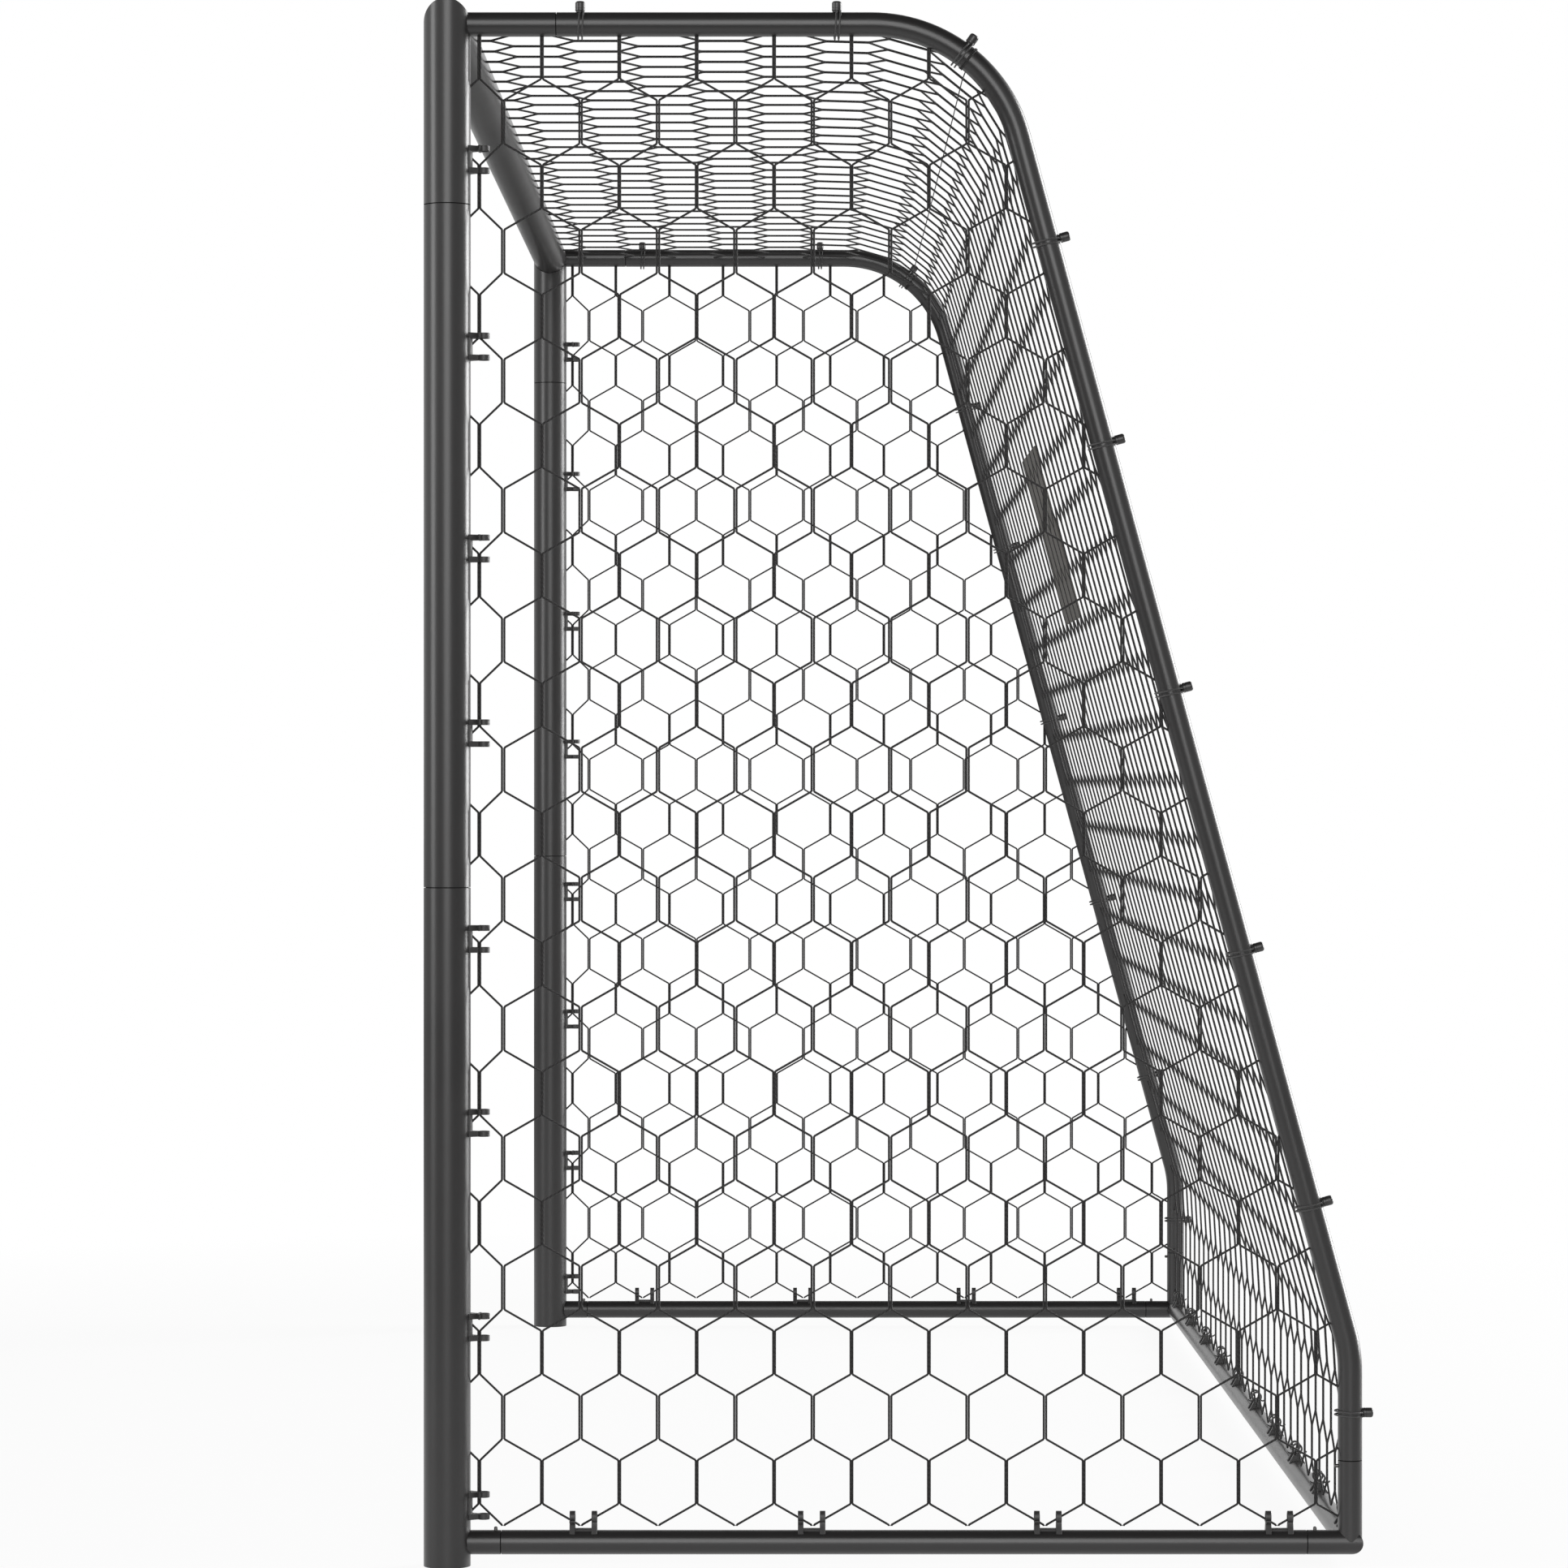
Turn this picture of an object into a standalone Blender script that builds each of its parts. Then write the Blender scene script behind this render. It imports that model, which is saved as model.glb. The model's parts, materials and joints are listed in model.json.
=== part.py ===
"""Free-standing football goal: a black steel tube frame with a net of hexagonal mesh.

Metres, +Z up. X runs from the mouth of the goal (-X) to its back (+X) and Y runs across it.
Left and right are as seen by a player who faces the mouth, so the left side is at +Y.
The origin is on the ground, in the middle of the goal's outer box.

Each side frame is a plane through its tubes' axes: post, bent side rail and ground rail.
Crossbar and rear bar join the two sides in mitred corners. Tubes meet in swaged spigots,
and six sprung buttons lock the joints near the ground. The net hangs between the axes of
the tubes, in moulded clips on posts, ground rails and rear bar, and in ties on the rails.
"""

import math

import bmesh
import bpy
from mathutils import Matrix, Vector

# ---- Driving dimensions ------------------------------------------------------------------
HEIGHT = 2.000
WIDTH = 3.000
POST_R = 0.030
POST_WALL = 0.0018
STAY_R = 0.0155
STAY_WALL = 0.0015
REAR_REACH = 1.154            # post axis to rear bar axis
ROOF_RUN = 0.5427             # post axis to the start of the upper bend
BEND_R = 0.195                # both bends of the side rail, at the tube's axis
BACK_LEAN = math.radians(15.25)
GROUND_AXIS = 0.030           # height of the ground rails' and the rear bar's axis
GAP = 0.0003                  # left between pieces that touch

POST_SEAM_LOW = 0.867         # heights of the two joints in a post
POST_SEAM_HIGH = 1.739
ROOF_SEAM = 0.139             # the rest are distances from the post axis, along the ground
GROUND_SEAM_FRONT = 0.0685
GROUND_SEAM_REAR = 1.099
UPRIGHT_SEAM = 0.135          # height of the joint in the rear upright

POST_SPIGOT = 0.100
ROOF_SPIGOT = 0.060
GROUND_SPIGOT = 0.034
UPRIGHT_SPIGOT = 0.045
POST_SPIGOT_R = POST_R - POST_WALL - 0.0008
STAY_SPIGOT_R = STAY_R - STAY_WALL - 0.0006
SWAGE = 0.0008                # the step down to a spigot

CLIP_ARM_SPREAD = 0.028
CLIP_ARM_WIDTH = 0.0072
CLIP_REACH = 0.028
CLIP_SEAT = 0.0170            # tube surface to the net's edge, in the clip's slot
POST_CLIPS = (0.077, 0.305, 0.566, 0.801, 1.064, 1.300, 1.558, 1.797)
GROUND_CLIPS = (0.1743, 0.4659, 0.7678, 1.0635)
REAR_CLIPS = [0.31 * (step - 4.5) for step in range(10)]

TIE_PROUD = 0.0142            # cap above the rail's surface
TIE_CORD_R = 0.0011
TIE_BAND = 0.0033             # half the width of its two turns, side by side
TIE_STATIONS = (0.170, 0.498, 0.666, 0.936, 1.204, 1.532, 1.877, 2.213, 2.484)

NET_THICKNESS = 0.003
NET_COLUMNS = 10              # meshes across the goal; the real net has 30, 98 mm wide
NET_ROW_SHARE = 0.837         # distance between rows to mesh width
NET_SIDE_SHARE = 0.677        # long side of a mesh to the distance between rows
NET_STRAND = 0.0085
NET_BORDER = 0.008
NET_SPLIT_BORDER = 0.0045
NET_CLEAR = 0.0205            # rail axis to the net's edge, clear of the ties
NET_LEAST_GAP = 0.03          # a smaller share of a full gap is left closed

BUTTON_R = 0.00235
BUTTON_HOLE_R = 0.00275
BUTTON_PROUD = 0.0045
BUTTON_FRONT = 0.0623         # from the post axis
BUTTON_REAR = 1.1092
BUTTON_UPRIGHT = 0.1276       # height
SPRING_WIDTH = 0.006
SPRING_GAUGE = 0.0008
SPRING_LENGTH = 0.042

BADGE_WIDTH = 0.400
BADGE_HEIGHT = 0.270
BADGE_THICKNESS = 0.002
BADGE_CENTRE_Z = 1.385
CORD_R = 0.0008
CORD_TURN = math.radians(40)  # place of the support cord round the upper bend
CORD_DROP = 0.0075            # from the rails' axis to the cord's
CORD_SAG = 0.004

POST_SIDES = 18
STAY_SIDES = 12
PLUG_SIDES = 14
PLAIN_BORE_SIDES = 10         # bores that take no spigot
UPPER_BEND_STEPS = 6
LOWER_BEND_STEPS = 2
NET_SHOULDER_STEPS = 4

# ---- Places worked out from them ---------------------------------------------------------
HALF = WIDTH / 2 - POST_R
DEPTH = POST_R + REAR_REACH + STAY_R + TIE_PROUD
POST_X = POST_R - DEPTH / 2
REAR_X = POST_X + REAR_REACH
TOP_Z = HEIGHT - POST_R
UPPER_TURN = math.pi / 2 - BACK_LEAN
UPPER_BEND = (POST_X + ROOF_RUN, TOP_Z - BEND_R)
BEND_SPREAD = REAR_X - BEND_R - UPPER_BEND[0]
LOWER_BEND = (REAR_X - BEND_R, UPPER_BEND[1] - BEND_SPREAD / math.tan(BACK_LEAN))
SLOPE_LENGTH = BEND_SPREAD / math.sin(BACK_LEAN)
UPPER_BEND_END = ROOF_RUN + BEND_R * UPPER_TURN
SLOPE_END = UPPER_BEND_END + SLOPE_LENGTH
LOWER_BEND_END = SLOPE_END + BEND_R * BACK_LEAN
CLIP_LINE_Z = GROUND_AXIS + STAY_R + CLIP_SEAT
NET_REACH = HALF - NET_CLEAR
NET_CELL = 2 * (NET_REACH - NET_BORDER) / NET_COLUMNS
NET_ROW = NET_ROW_SHARE * NET_CELL
NET_LONG_SIDE = NET_SIDE_SHARE * NET_ROW


def rail_frame(distance):
    """Place on a side rail's axis and the turn of its outer side from straight up.

    The distance runs from the post axis along the roof, down the slope and the upright.
    """
    if distance <= ROOF_RUN:
        return POST_X + distance, TOP_Z, 0.0
    if distance <= UPPER_BEND_END:
        turn = (distance - ROOF_RUN) / BEND_R
        x = UPPER_BEND[0] + BEND_R * math.sin(turn)
        return x, UPPER_BEND[1] + BEND_R * math.cos(turn), turn
    if distance <= SLOPE_END:
        along = distance - UPPER_BEND_END
        x, z, turn = rail_frame(UPPER_BEND_END)
        return x + along * math.sin(BACK_LEAN), z - along * math.cos(BACK_LEAN), turn
    if distance <= LOWER_BEND_END:
        turn = UPPER_TURN + (distance - SLOPE_END) / BEND_R
        x = LOWER_BEND[0] + BEND_R * math.sin(turn)
        return x, LOWER_BEND[1] + BEND_R * math.cos(turn), turn
    return REAR_X, LOWER_BEND[1] - (distance - LOWER_BEND_END), math.pi / 2


def bend_distances():
    """Distances along the rail at which its two bends are stepped."""
    upper = [ROOF_RUN + BEND_R * UPPER_TURN * step / UPPER_BEND_STEPS
             for step in range(UPPER_BEND_STEPS + 1)]
    lower = [SLOPE_END + BEND_R * BACK_LEAN * step / LOWER_BEND_STEPS
             for step in range(LOWER_BEND_STEPS + 1)]
    return upper, lower


# ---- Scene and materials -----------------------------------------------------------------
def clear_scene():
    for obj in list(bpy.data.objects):
        bpy.data.objects.remove(obj, do_unlink=True)


def new_collection(name):
    collection = bpy.data.collections.new(name)
    bpy.context.scene.collection.children.link(collection)
    return collection


clear_scene()
GOAL = new_collection("football_goal")
TOOLS = new_collection("shaping_tools")
ROOT = bpy.data.objects.new("goal_origin", None)
GOAL.objects.link(ROOT)


def material(name, colour, roughness, metallic):
    made = bpy.data.materials.new(name)
    made.use_nodes = True
    shader = made.node_tree.nodes["Principled BSDF"]
    shader.inputs["Base Color"].default_value = (*colour, 1.0)
    shader.inputs["Roughness"].default_value = roughness
    shader.inputs["Metallic"].default_value = metallic
    made.diffuse_color = (*colour, 1.0)
    return made


BLACK_COAT = material("black_powder_coat", (0.042, 0.041, 0.040), 0.42, 0.0)
BLACK_PLASTIC = material("black_moulded_plastic", (0.035, 0.035, 0.035), 0.55, 0.0)
NET_CORD = material("black_knotless_net", (0.030, 0.030, 0.030), 0.85, 0.0)
ELASTIC = material("black_elastic_cord", (0.028, 0.028, 0.028), 0.75, 0.0)
SPRING_STEEL = material("bright_spring_steel", (0.55, 0.55, 0.54), 0.30, 1.0)
BADGE_SHEET = material("grey_badge_sheet", (0.060, 0.056, 0.050), 0.65, 0.0)


# ---- Shaping helpers ---------------------------------------------------------------------
def add_tool(name, mesh):
    obj = bpy.data.objects.new(name, mesh)
    obj.hide_render = True
    obj.display_type = "WIRE"
    TOOLS.objects.link(obj)
    return obj


def evaluated_mesh(obj):
    """The mesh that an object's curve or modifiers give, with its doubles merged."""
    bpy.context.view_layer.update()
    depsgraph = bpy.context.evaluated_depsgraph_get()
    mesh = bpy.data.meshes.new_from_object(obj.evaluated_get(depsgraph))
    shape = bmesh.new()
    shape.from_mesh(mesh)
    bmesh.ops.remove_doubles(shape, verts=shape.verts, dist=0.000001)
    shape.to_mesh(mesh)
    shape.free()
    return mesh


def curve_to_solid(name, curve):
    """Turn a curve into a mesh object with welded caps, and remove the curve."""
    guide = bpy.data.objects.new(name + "_guide", curve)
    TOOLS.objects.link(guide)
    solid = add_tool(name, evaluated_mesh(guide))
    solid.matrix_world = guide.matrix_world
    bpy.data.objects.remove(guide, do_unlink=True)
    bpy.data.curves.remove(curve)
    return solid


def rod(name, stations, sides, closed=False):
    """Round bar through stations, each a place and the bar's radius there."""
    curve = bpy.data.curves.new(name, "CURVE")
    curve.dimensions = "3D"
    curve.bevel_depth = 1.0
    curve.bevel_resolution = (sides - 4) // 2
    curve.use_fill_caps = not closed
    spline = curve.splines.new("POLY")
    spline.points.add(len(stations) - 1)
    spline.use_cyclic_u = closed
    for point, (place, radius) in zip(spline.points, stations):
        point.co = (*place, 1.0)
        point.radius = radius
    return curve_to_solid(name, curve)


def plate(name, outline, holes, thickness):
    """Flat sheet in the XY plane with the outline and the holes given as points."""
    curve = bpy.data.curves.new(name, "CURVE")
    curve.dimensions = "2D"
    curve.fill_mode = "BOTH"
    curve.extrude = thickness / 2
    for loop in [outline, *holes]:
        spline = curve.splines.new("POLY")
        spline.points.add(len(loop) - 1)
        spline.use_cyclic_u = True
        for point, (x, y) in zip(spline.points, loop):
            point.co = (x, y, 0.0, 1.0)
    return curve_to_solid(name, curve)


def turned(name, profile, steps):
    """Solid of revolution about Z from (radius, height) pairs, top to bottom."""
    mesh = bpy.data.meshes.new(name + "_profile")
    points = [(radius, 0.0, height) for radius, height in profile]
    mesh.from_pydata(points, [(i, i + 1) for i in range(len(points) - 1)], [])
    guide = add_tool(name + "_guide", mesh)
    screw = guide.modifiers.new("turn", "SCREW")
    screw.steps = steps
    screw.render_steps = steps
    screw.use_merge_vertices = True
    screw.merge_threshold = 0.00001
    solid = add_tool(name, evaluated_mesh(guide))
    bpy.data.objects.remove(guide, do_unlink=True)
    return solid


def box(name, low, high):
    shape = bmesh.new()
    bmesh.ops.create_cube(shape, size=1.0)
    size = Vector(high) - Vector(low)
    bmesh.ops.scale(shape, vec=size, verts=shape.verts)
    bmesh.ops.translate(shape, vec=(Vector(high) + Vector(low)) / 2, verts=shape.verts)
    mesh = bpy.data.meshes.new(name)
    shape.to_mesh(mesh)
    shape.free()
    return add_tool(name, mesh)


def beyond(name, place, normal, size=0.3):
    """Block that fills the space beyond the plane through place, along its normal."""
    block = box(name, (-size / 2, -size / 2, 0.0), (size / 2, size / 2, size))
    turn = Vector(normal).to_track_quat("Z", "Y").to_matrix().to_4x4()
    block.data.transform(Matrix.Translation(Vector(place)) @ turn)
    return block


def combine(solid, operation, tools):
    """Join each tool to the solid or cut it away, then remove the tools."""
    for tool in tools:
        change = solid.modifiers.new(tool.name, "BOOLEAN")
        change.operation = operation
        change.solver = "EXACT"
        change.object = tool
    mesh = evaluated_mesh(solid)
    solid.modifiers.clear()
    solid.data = mesh
    for tool in tools:
        bpy.data.objects.remove(tool, do_unlink=True)
    return solid


def room_radius(radius, sides):
    """Radius to the corners of a many-sided bore as wide in area as the round one."""
    part = 2 * math.pi / sides
    return radius * math.sqrt(part / math.sin(part))


def bore(stations, wall, sides):
    """The bar that hollows a tube: the same stations less the wall, run past both ends."""
    inner = [(Vector(place), room_radius(radius - wall, sides)) for place, radius in stations]
    overrun = 0.005
    first = inner[0][0] + (inner[0][0] - inner[1][0]).normalized() * overrun
    last = inner[-1][0] + (inner[-1][0] - inner[-2][0]).normalized() * overrun
    inner[0] = (first, inner[0][1])
    inner[-1] = (last, inner[-1][1])
    return rod("bore", inner, sides)


def tube(name, stations, wall, sides, fittings=(), bore_sides=PLAIN_BORE_SIDES):
    """Hollow tube through the stations, with the fittings joined to its outside."""
    solid = rod(name, stations, sides)
    if fittings:
        combine(solid, "UNION", fittings)
    return combine(solid, "DIFFERENCE", [bore(stations, wall, bore_sides)])


def spigot(place, direction, length, tube_radius, spigot_radius):
    """Stations of a tube's swaged end: the step down, then the spigot past the seam."""
    place = Vector(place)
    direction = Vector(direction)
    return [
        (place - direction * SWAGE, tube_radius),
        (place, spigot_radius),
        (place + direction * length, spigot_radius),
    ]


def joined(name, parts):
    """One mesh of several separate solids, used as a single tool."""
    shape = bmesh.new()
    for mesh, matrix in parts:
        copy = mesh.copy()
        copy.transform(matrix)
        shape.from_mesh(copy)
        bpy.data.meshes.remove(copy)
    mesh = bpy.data.meshes.new(name)
    shape.to_mesh(mesh)
    shape.free()
    return add_tool(name, mesh)


def finish(solid, finish_material, place=(0.0, 0.0, 0.0), turn=None):
    """Make a shaped solid one of the goal's parts."""
    TOOLS.objects.unlink(solid)
    GOAL.objects.link(solid)
    solid.hide_render = False
    solid.display_type = "TEXTURED"
    solid.data.name = solid.name
    solid.data.materials.clear()
    solid.data.materials.append(finish_material)
    solid.data.shade_smooth()
    solid.data.set_sharp_from_angle(angle=math.radians(30))
    solid.parent = ROOT
    solid.location = place
    if turn:
        solid.rotation_euler = turn
    return solid


def copy_of(original, name, place, turn=None):
    """Another object with the same mesh."""
    twin = bpy.data.objects.new(name, original.data)
    GOAL.objects.link(twin)
    twin.parent = ROOT
    twin.location = place
    twin.rotation_euler = turn if turn else original.rotation_euler
    return twin


def both_sides(solid, base_name, finish_material):
    """The same piece in the right and in the left side frame."""
    solid.name = base_name + "_right"
    finish(solid, finish_material, (0.0, -HALF, 0.0))
    copy_of(solid, base_name + "_left", (0.0, HALF, 0.0))


def handed_pair(solid, base_name, finish_material):
    """A piece of the right side frame and its mirror image in the left one."""
    solid.name = base_name + "_right"
    finish(solid, finish_material, (0.0, -HALF, 0.0))
    mesh = solid.data.copy()
    mesh.transform(Matrix.Scale(-1.0, 4, (0.0, 1.0, 0.0)))
    mesh.flip_normals()
    mesh.name = base_name + "_left"
    twin = bpy.data.objects.new(base_name + "_left", mesh)
    GOAL.objects.link(twin)
    twin.parent = ROOT
    twin.location = (0.0, HALF, 0.0)


# ---- Net clips ---------------------------------------------------------------------------
def clip_arm_outline(radius):
    """Forked arm seen along the tube: flared foot, neck and two lips round the slot."""
    foot = 0.0105
    foot_height = math.sqrt((radius - 0.0006) ** 2 - foot ** 2)
    half = [
        (foot, foot_height),
        (0.0046, radius + 0.0100),
        (0.0078, radius + CLIP_REACH),
        (0.0023, radius + CLIP_SEAT - 0.0015),
    ]
    return half + [(-v, u) for v, u in reversed(half)]


def clip_mesh(radius):
    """Clip for a tube of this radius, whose axis is X, with the arms along +Z."""
    arm = plate("clip_arm", clip_arm_outline(radius), [], CLIP_ARM_WIDTH)
    stand = Matrix.Rotation(math.radians(90), 4, "Z") @ Matrix.Rotation(math.radians(90), 4, "X")
    places = (-CLIP_ARM_SPREAD / 2, CLIP_ARM_SPREAD / 2)
    arms = joined("clip", [(arm.data, Matrix.Translation((x, 0, 0)) @ stand) for x in places])
    bpy.data.objects.remove(arm, do_unlink=True)
    low = (-CLIP_ARM_SPREAD / 2, -0.0040, radius - 0.0010)
    high = (CLIP_ARM_SPREAD / 2, 0.0040, radius + 0.0035)
    return combine(arms, "UNION", [box("clip_strap", low, high)])


POST_CLIP = clip_mesh(POST_R)
STAY_CLIP = clip_mesh(STAY_R)
ON_POST = Matrix.Rotation(math.radians(90), 4, "Y")
ON_REAR_BAR = Matrix.Rotation(math.radians(90), 4, "Z")


def post_clips(low, high):
    """The clips on the post between two heights, as one tool."""
    places = [z for z in POST_CLIPS if low < z < high]
    return joined("post_clips", [
        (POST_CLIP.data, Matrix.Translation((POST_X, 0.0, z)) @ ON_POST) for z in places])


# ---- Side frames: posts ------------------------------------------------------------------
def post_piece(name, low, high, bore_sides, stub=None):
    """Length of post with a spigot at its top and the clips of that length."""
    stations = [((POST_X, 0.0, low), POST_R)]
    stations += spigot((POST_X, 0.0, high), (0, 0, 1), POST_SPIGOT, POST_R, POST_SPIGOT_R)
    fittings = [post_clips(low, high)]
    if stub:
        fittings.append(stub)
    return tube(name, stations, POST_WALL, POST_SIDES, fittings, bore_sides)


def stub_room(end_x, height):
    """Bore of a stub that is welded to the post, from the post's wall to the stub's end."""
    start = (POST_X + POST_R - 0.0008, 0.0, height)
    end = (POST_X + end_x + 0.005, 0.0, height)
    return rod("stub_room", [(start, STAY_R - STAY_WALL), (end, STAY_R - STAY_WALL)],
               STAY_SIDES)


def stub_bar(end_x, height):
    start = (POST_X + POST_R - 0.004, 0.0, height)
    end = (POST_X + end_x, 0.0, height)
    return rod("stub", [(start, STAY_R), (end, STAY_R)], STAY_SIDES)


def button_hole(place, turn=None):
    hole = rod("button_hole", [((0, 0, 0), BUTTON_HOLE_R), ((0, 0, 0.03), BUTTON_HOLE_R)], 8)
    if turn:
        hole.data.transform(turn)
    hole.data.transform(Matrix.Translation(place))
    return hole


def make_posts():
    lower = post_piece("post_lower", 0.0, POST_SEAM_LOW, PLUG_SIDES,
                       stub_bar(GROUND_SEAM_FRONT, GROUND_AXIS))
    combine(lower, "DIFFERENCE", [
        stub_room(GROUND_SEAM_FRONT, GROUND_AXIS),
        button_hole((POST_X + BUTTON_FRONT, 0.0, GROUND_AXIS)),
    ])
    both_sides(lower, "post_lower", BLACK_COAT)
    upper = post_piece("post_upper", POST_SEAM_LOW + GAP, POST_SEAM_HIGH, POST_SIDES)
    both_sides(upper, "post_upper", BLACK_COAT)


def make_foot_plugs():
    """Ribbed plug in the foot of each post; its face is what the goal stands on."""
    room = room_radius(POST_R - POST_WALL, PLUG_SIDES)
    grip = room * math.cos(math.pi / PLUG_SIDES) - GAP
    body = grip - 0.0014
    profile = [(0.0, 0.0030), (body - 0.0024, 0.0030), (body - 0.0024, 0.0140)]
    profile += [(body, 0.0140)]
    rib = 0.0100
    profile += [(grip, rib), (body, rib - 0.0020)]
    profile += [(grip, 0.0030), (grip, 0.0), (0.0, 0.0)]
    plug = turned("post_foot_plug_right", profile, PLUG_SIDES)
    finish(plug, BLACK_PLASTIC, (POST_X, -HALF, 0.0))
    copy_of(plug, "post_foot_plug_left", (POST_X, HALF, 0.0))


# ---- Top corners and crossbar ------------------------------------------------------------
def make_top_corners():
    """Top of the post, cut to a mitre under the crossbar, with the stub of the side rail."""
    stations = [((POST_X, 0.0, POST_SEAM_HIGH + GAP), POST_R),
                ((POST_X, 0.0, HEIGHT + POST_R), POST_R)]
    corner = rod("top_corner", stations, POST_SIDES)
    combine(corner, "DIFFERENCE", [
        beyond("mitre", (POST_X, -GAP / 4, TOP_Z - GAP / 4), (0, 1, 1))])
    combine(corner, "UNION", [
        post_clips(POST_SEAM_HIGH, HEIGHT), stub_bar(ROOF_SEAM, TOP_Z)])
    combine(corner, "DIFFERENCE", [
        bore(stations, POST_WALL, POST_SIDES), stub_room(ROOF_SEAM, TOP_Z)])
    handed_pair(corner, "top_corner", BLACK_COAT)


def make_crossbar():
    """One tube, mitred at both ends and cleared round the side rails' stubs."""
    reach = HALF + POST_R * 2
    stations = [((POST_X, -reach, TOP_Z), POST_R), ((POST_X, reach, TOP_Z), POST_R)]
    bar = tube("crossbar", stations, POST_WALL, POST_SIDES)
    cuts = []
    for side in (-1, 1):
        place = (POST_X, side * (HALF - GAP / 4), TOP_Z + GAP / 4)
        cuts.append(beyond("mitre", place, (0, side, -1)))
        start = (POST_X + POST_R - 0.006, side * HALF, TOP_Z)
        end = (POST_X + POST_R * 2, side * HALF, TOP_Z)
        cuts.append(rod("stub_clearance", [(start, STAY_R + GAP), (end, STAY_R + GAP)],
                        STAY_SIDES))
    combine(bar, "DIFFERENCE", cuts)
    finish(bar, BLACK_COAT)


# ---- Bent side rails ---------------------------------------------------------------------
def make_side_rails():
    """Roof run, slope and rear upright in one tube, bent twice, with a spigot at each end."""
    upper, lower = bend_distances()
    spine = [(x, 0.0, z) for x, z, _ in map(rail_frame, upper + lower)]
    front = spigot((POST_X + ROOF_SEAM + GAP, 0.0, TOP_Z), (-1, 0, 0), ROOF_SPIGOT,
                   STAY_R, STAY_SPIGOT_R)
    foot = spigot((REAR_X, 0.0, UPRIGHT_SEAM), (0, 0, -1), UPRIGHT_SPIGOT,
                  STAY_R, STAY_SPIGOT_R)
    stations = front[::-1] + [(place, STAY_R) for place in spine] + foot
    rail = tube("side_rail", stations, STAY_WALL, STAY_SIDES)
    forward = Matrix.Rotation(math.radians(-90), 4, "Y")
    combine(rail, "DIFFERENCE", [button_hole((REAR_X, 0.0, BUTTON_UPRIGHT), forward)])
    both_sides(rail, "side_rail", BLACK_COAT)


# ---- Ground rails, rear corners and rear bar ---------------------------------------------
def make_ground_rails():
    front = spigot((POST_X + GROUND_SEAM_FRONT + GAP, 0.0, GROUND_AXIS), (-1, 0, 0),
                   GROUND_SPIGOT, STAY_R, STAY_SPIGOT_R)
    rear = spigot((POST_X + GROUND_SEAM_REAR - GAP, 0.0, GROUND_AXIS), (1, 0, 0),
                  GROUND_SPIGOT, STAY_R, STAY_SPIGOT_R)
    clips = joined("ground_clips", [
        (STAY_CLIP.data, Matrix.Translation((POST_X + x, 0.0, GROUND_AXIS)))
        for x in GROUND_CLIPS])
    rail = tube("ground_rail", front[::-1] + rear, STAY_WALL, STAY_SIDES, [clips])
    combine(rail, "DIFFERENCE", [
        button_hole((POST_X + x, 0.0, GROUND_AXIS)) for x in (BUTTON_FRONT, BUTTON_REAR)])
    both_sides(rail, "ground_rail", BLACK_COAT)


def make_rear_corners():
    """Elbow half that carries the rear upright's socket, mitred against the rear bar."""
    side = [((POST_X + GROUND_SEAM_REAR, 0.0, GROUND_AXIS), STAY_R),
            ((REAR_X + STAY_R * 3, 0.0, GROUND_AXIS), STAY_R)]
    corner = rod("rear_corner", side, STAY_SIDES)
    meeting = (REAR_X - GAP / 4, -GAP / 4, GROUND_AXIS)
    combine(corner, "DIFFERENCE", [beyond("mitre", meeting, (1, 1, 0))])
    socket = rod("socket", [((REAR_X, 0.0, GROUND_AXIS), STAY_R),
                            ((REAR_X, 0.0, UPRIGHT_SEAM - GAP), STAY_R)], STAY_SIDES)
    bar_room = rod("bar_room", [((REAR_X, -0.1, GROUND_AXIS), STAY_R + GAP),
                                ((REAR_X, 0.1, GROUND_AXIS), STAY_R + GAP)], STAY_SIDES)
    combine(bar_room, "DIFFERENCE",
            [beyond("mitre", (REAR_X, 0.0, GROUND_AXIS), (-1, -1, 0))])
    combine(socket, "DIFFERENCE", [bar_room])
    combine(corner, "UNION", [socket])
    inner_r = STAY_R - STAY_WALL
    socket_room = rod("socket_room", [
        ((REAR_X, 0.0, GROUND_AXIS + STAY_R + 0.0005), inner_r),
        ((REAR_X, 0.0, UPRIGHT_SEAM + 0.005), inner_r)], STAY_SIDES)
    forward = Matrix.Rotation(math.radians(-90), 4, "Y")
    combine(corner, "DIFFERENCE", [
        bore(side, STAY_WALL, STAY_SIDES),
        socket_room,
        button_hole((POST_X + BUTTON_REAR, 0.0, GROUND_AXIS)),
        button_hole((REAR_X, 0.0, BUTTON_UPRIGHT), forward),
    ])
    handed_pair(corner, "rear_corner", BLACK_COAT)


def make_rear_bar():
    reach = HALF + STAY_R * 3
    stations = [((REAR_X, -reach, GROUND_AXIS), STAY_R), ((REAR_X, reach, GROUND_AXIS), STAY_R)]
    clips = joined("rear_clips", [
        (STAY_CLIP.data, Matrix.Translation((REAR_X, y, GROUND_AXIS)) @ ON_REAR_BAR)
        for y in REAR_CLIPS])
    bar = tube("rear_bar", stations, STAY_WALL, STAY_SIDES, [clips])
    combine(bar, "DIFFERENCE", [
        beyond("mitre", (REAR_X + GAP / 4, side * (HALF - GAP / 4), GROUND_AXIS), (-1, side, 0))
        for side in (-1, 1)])
    finish(bar, BLACK_COAT)


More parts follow.
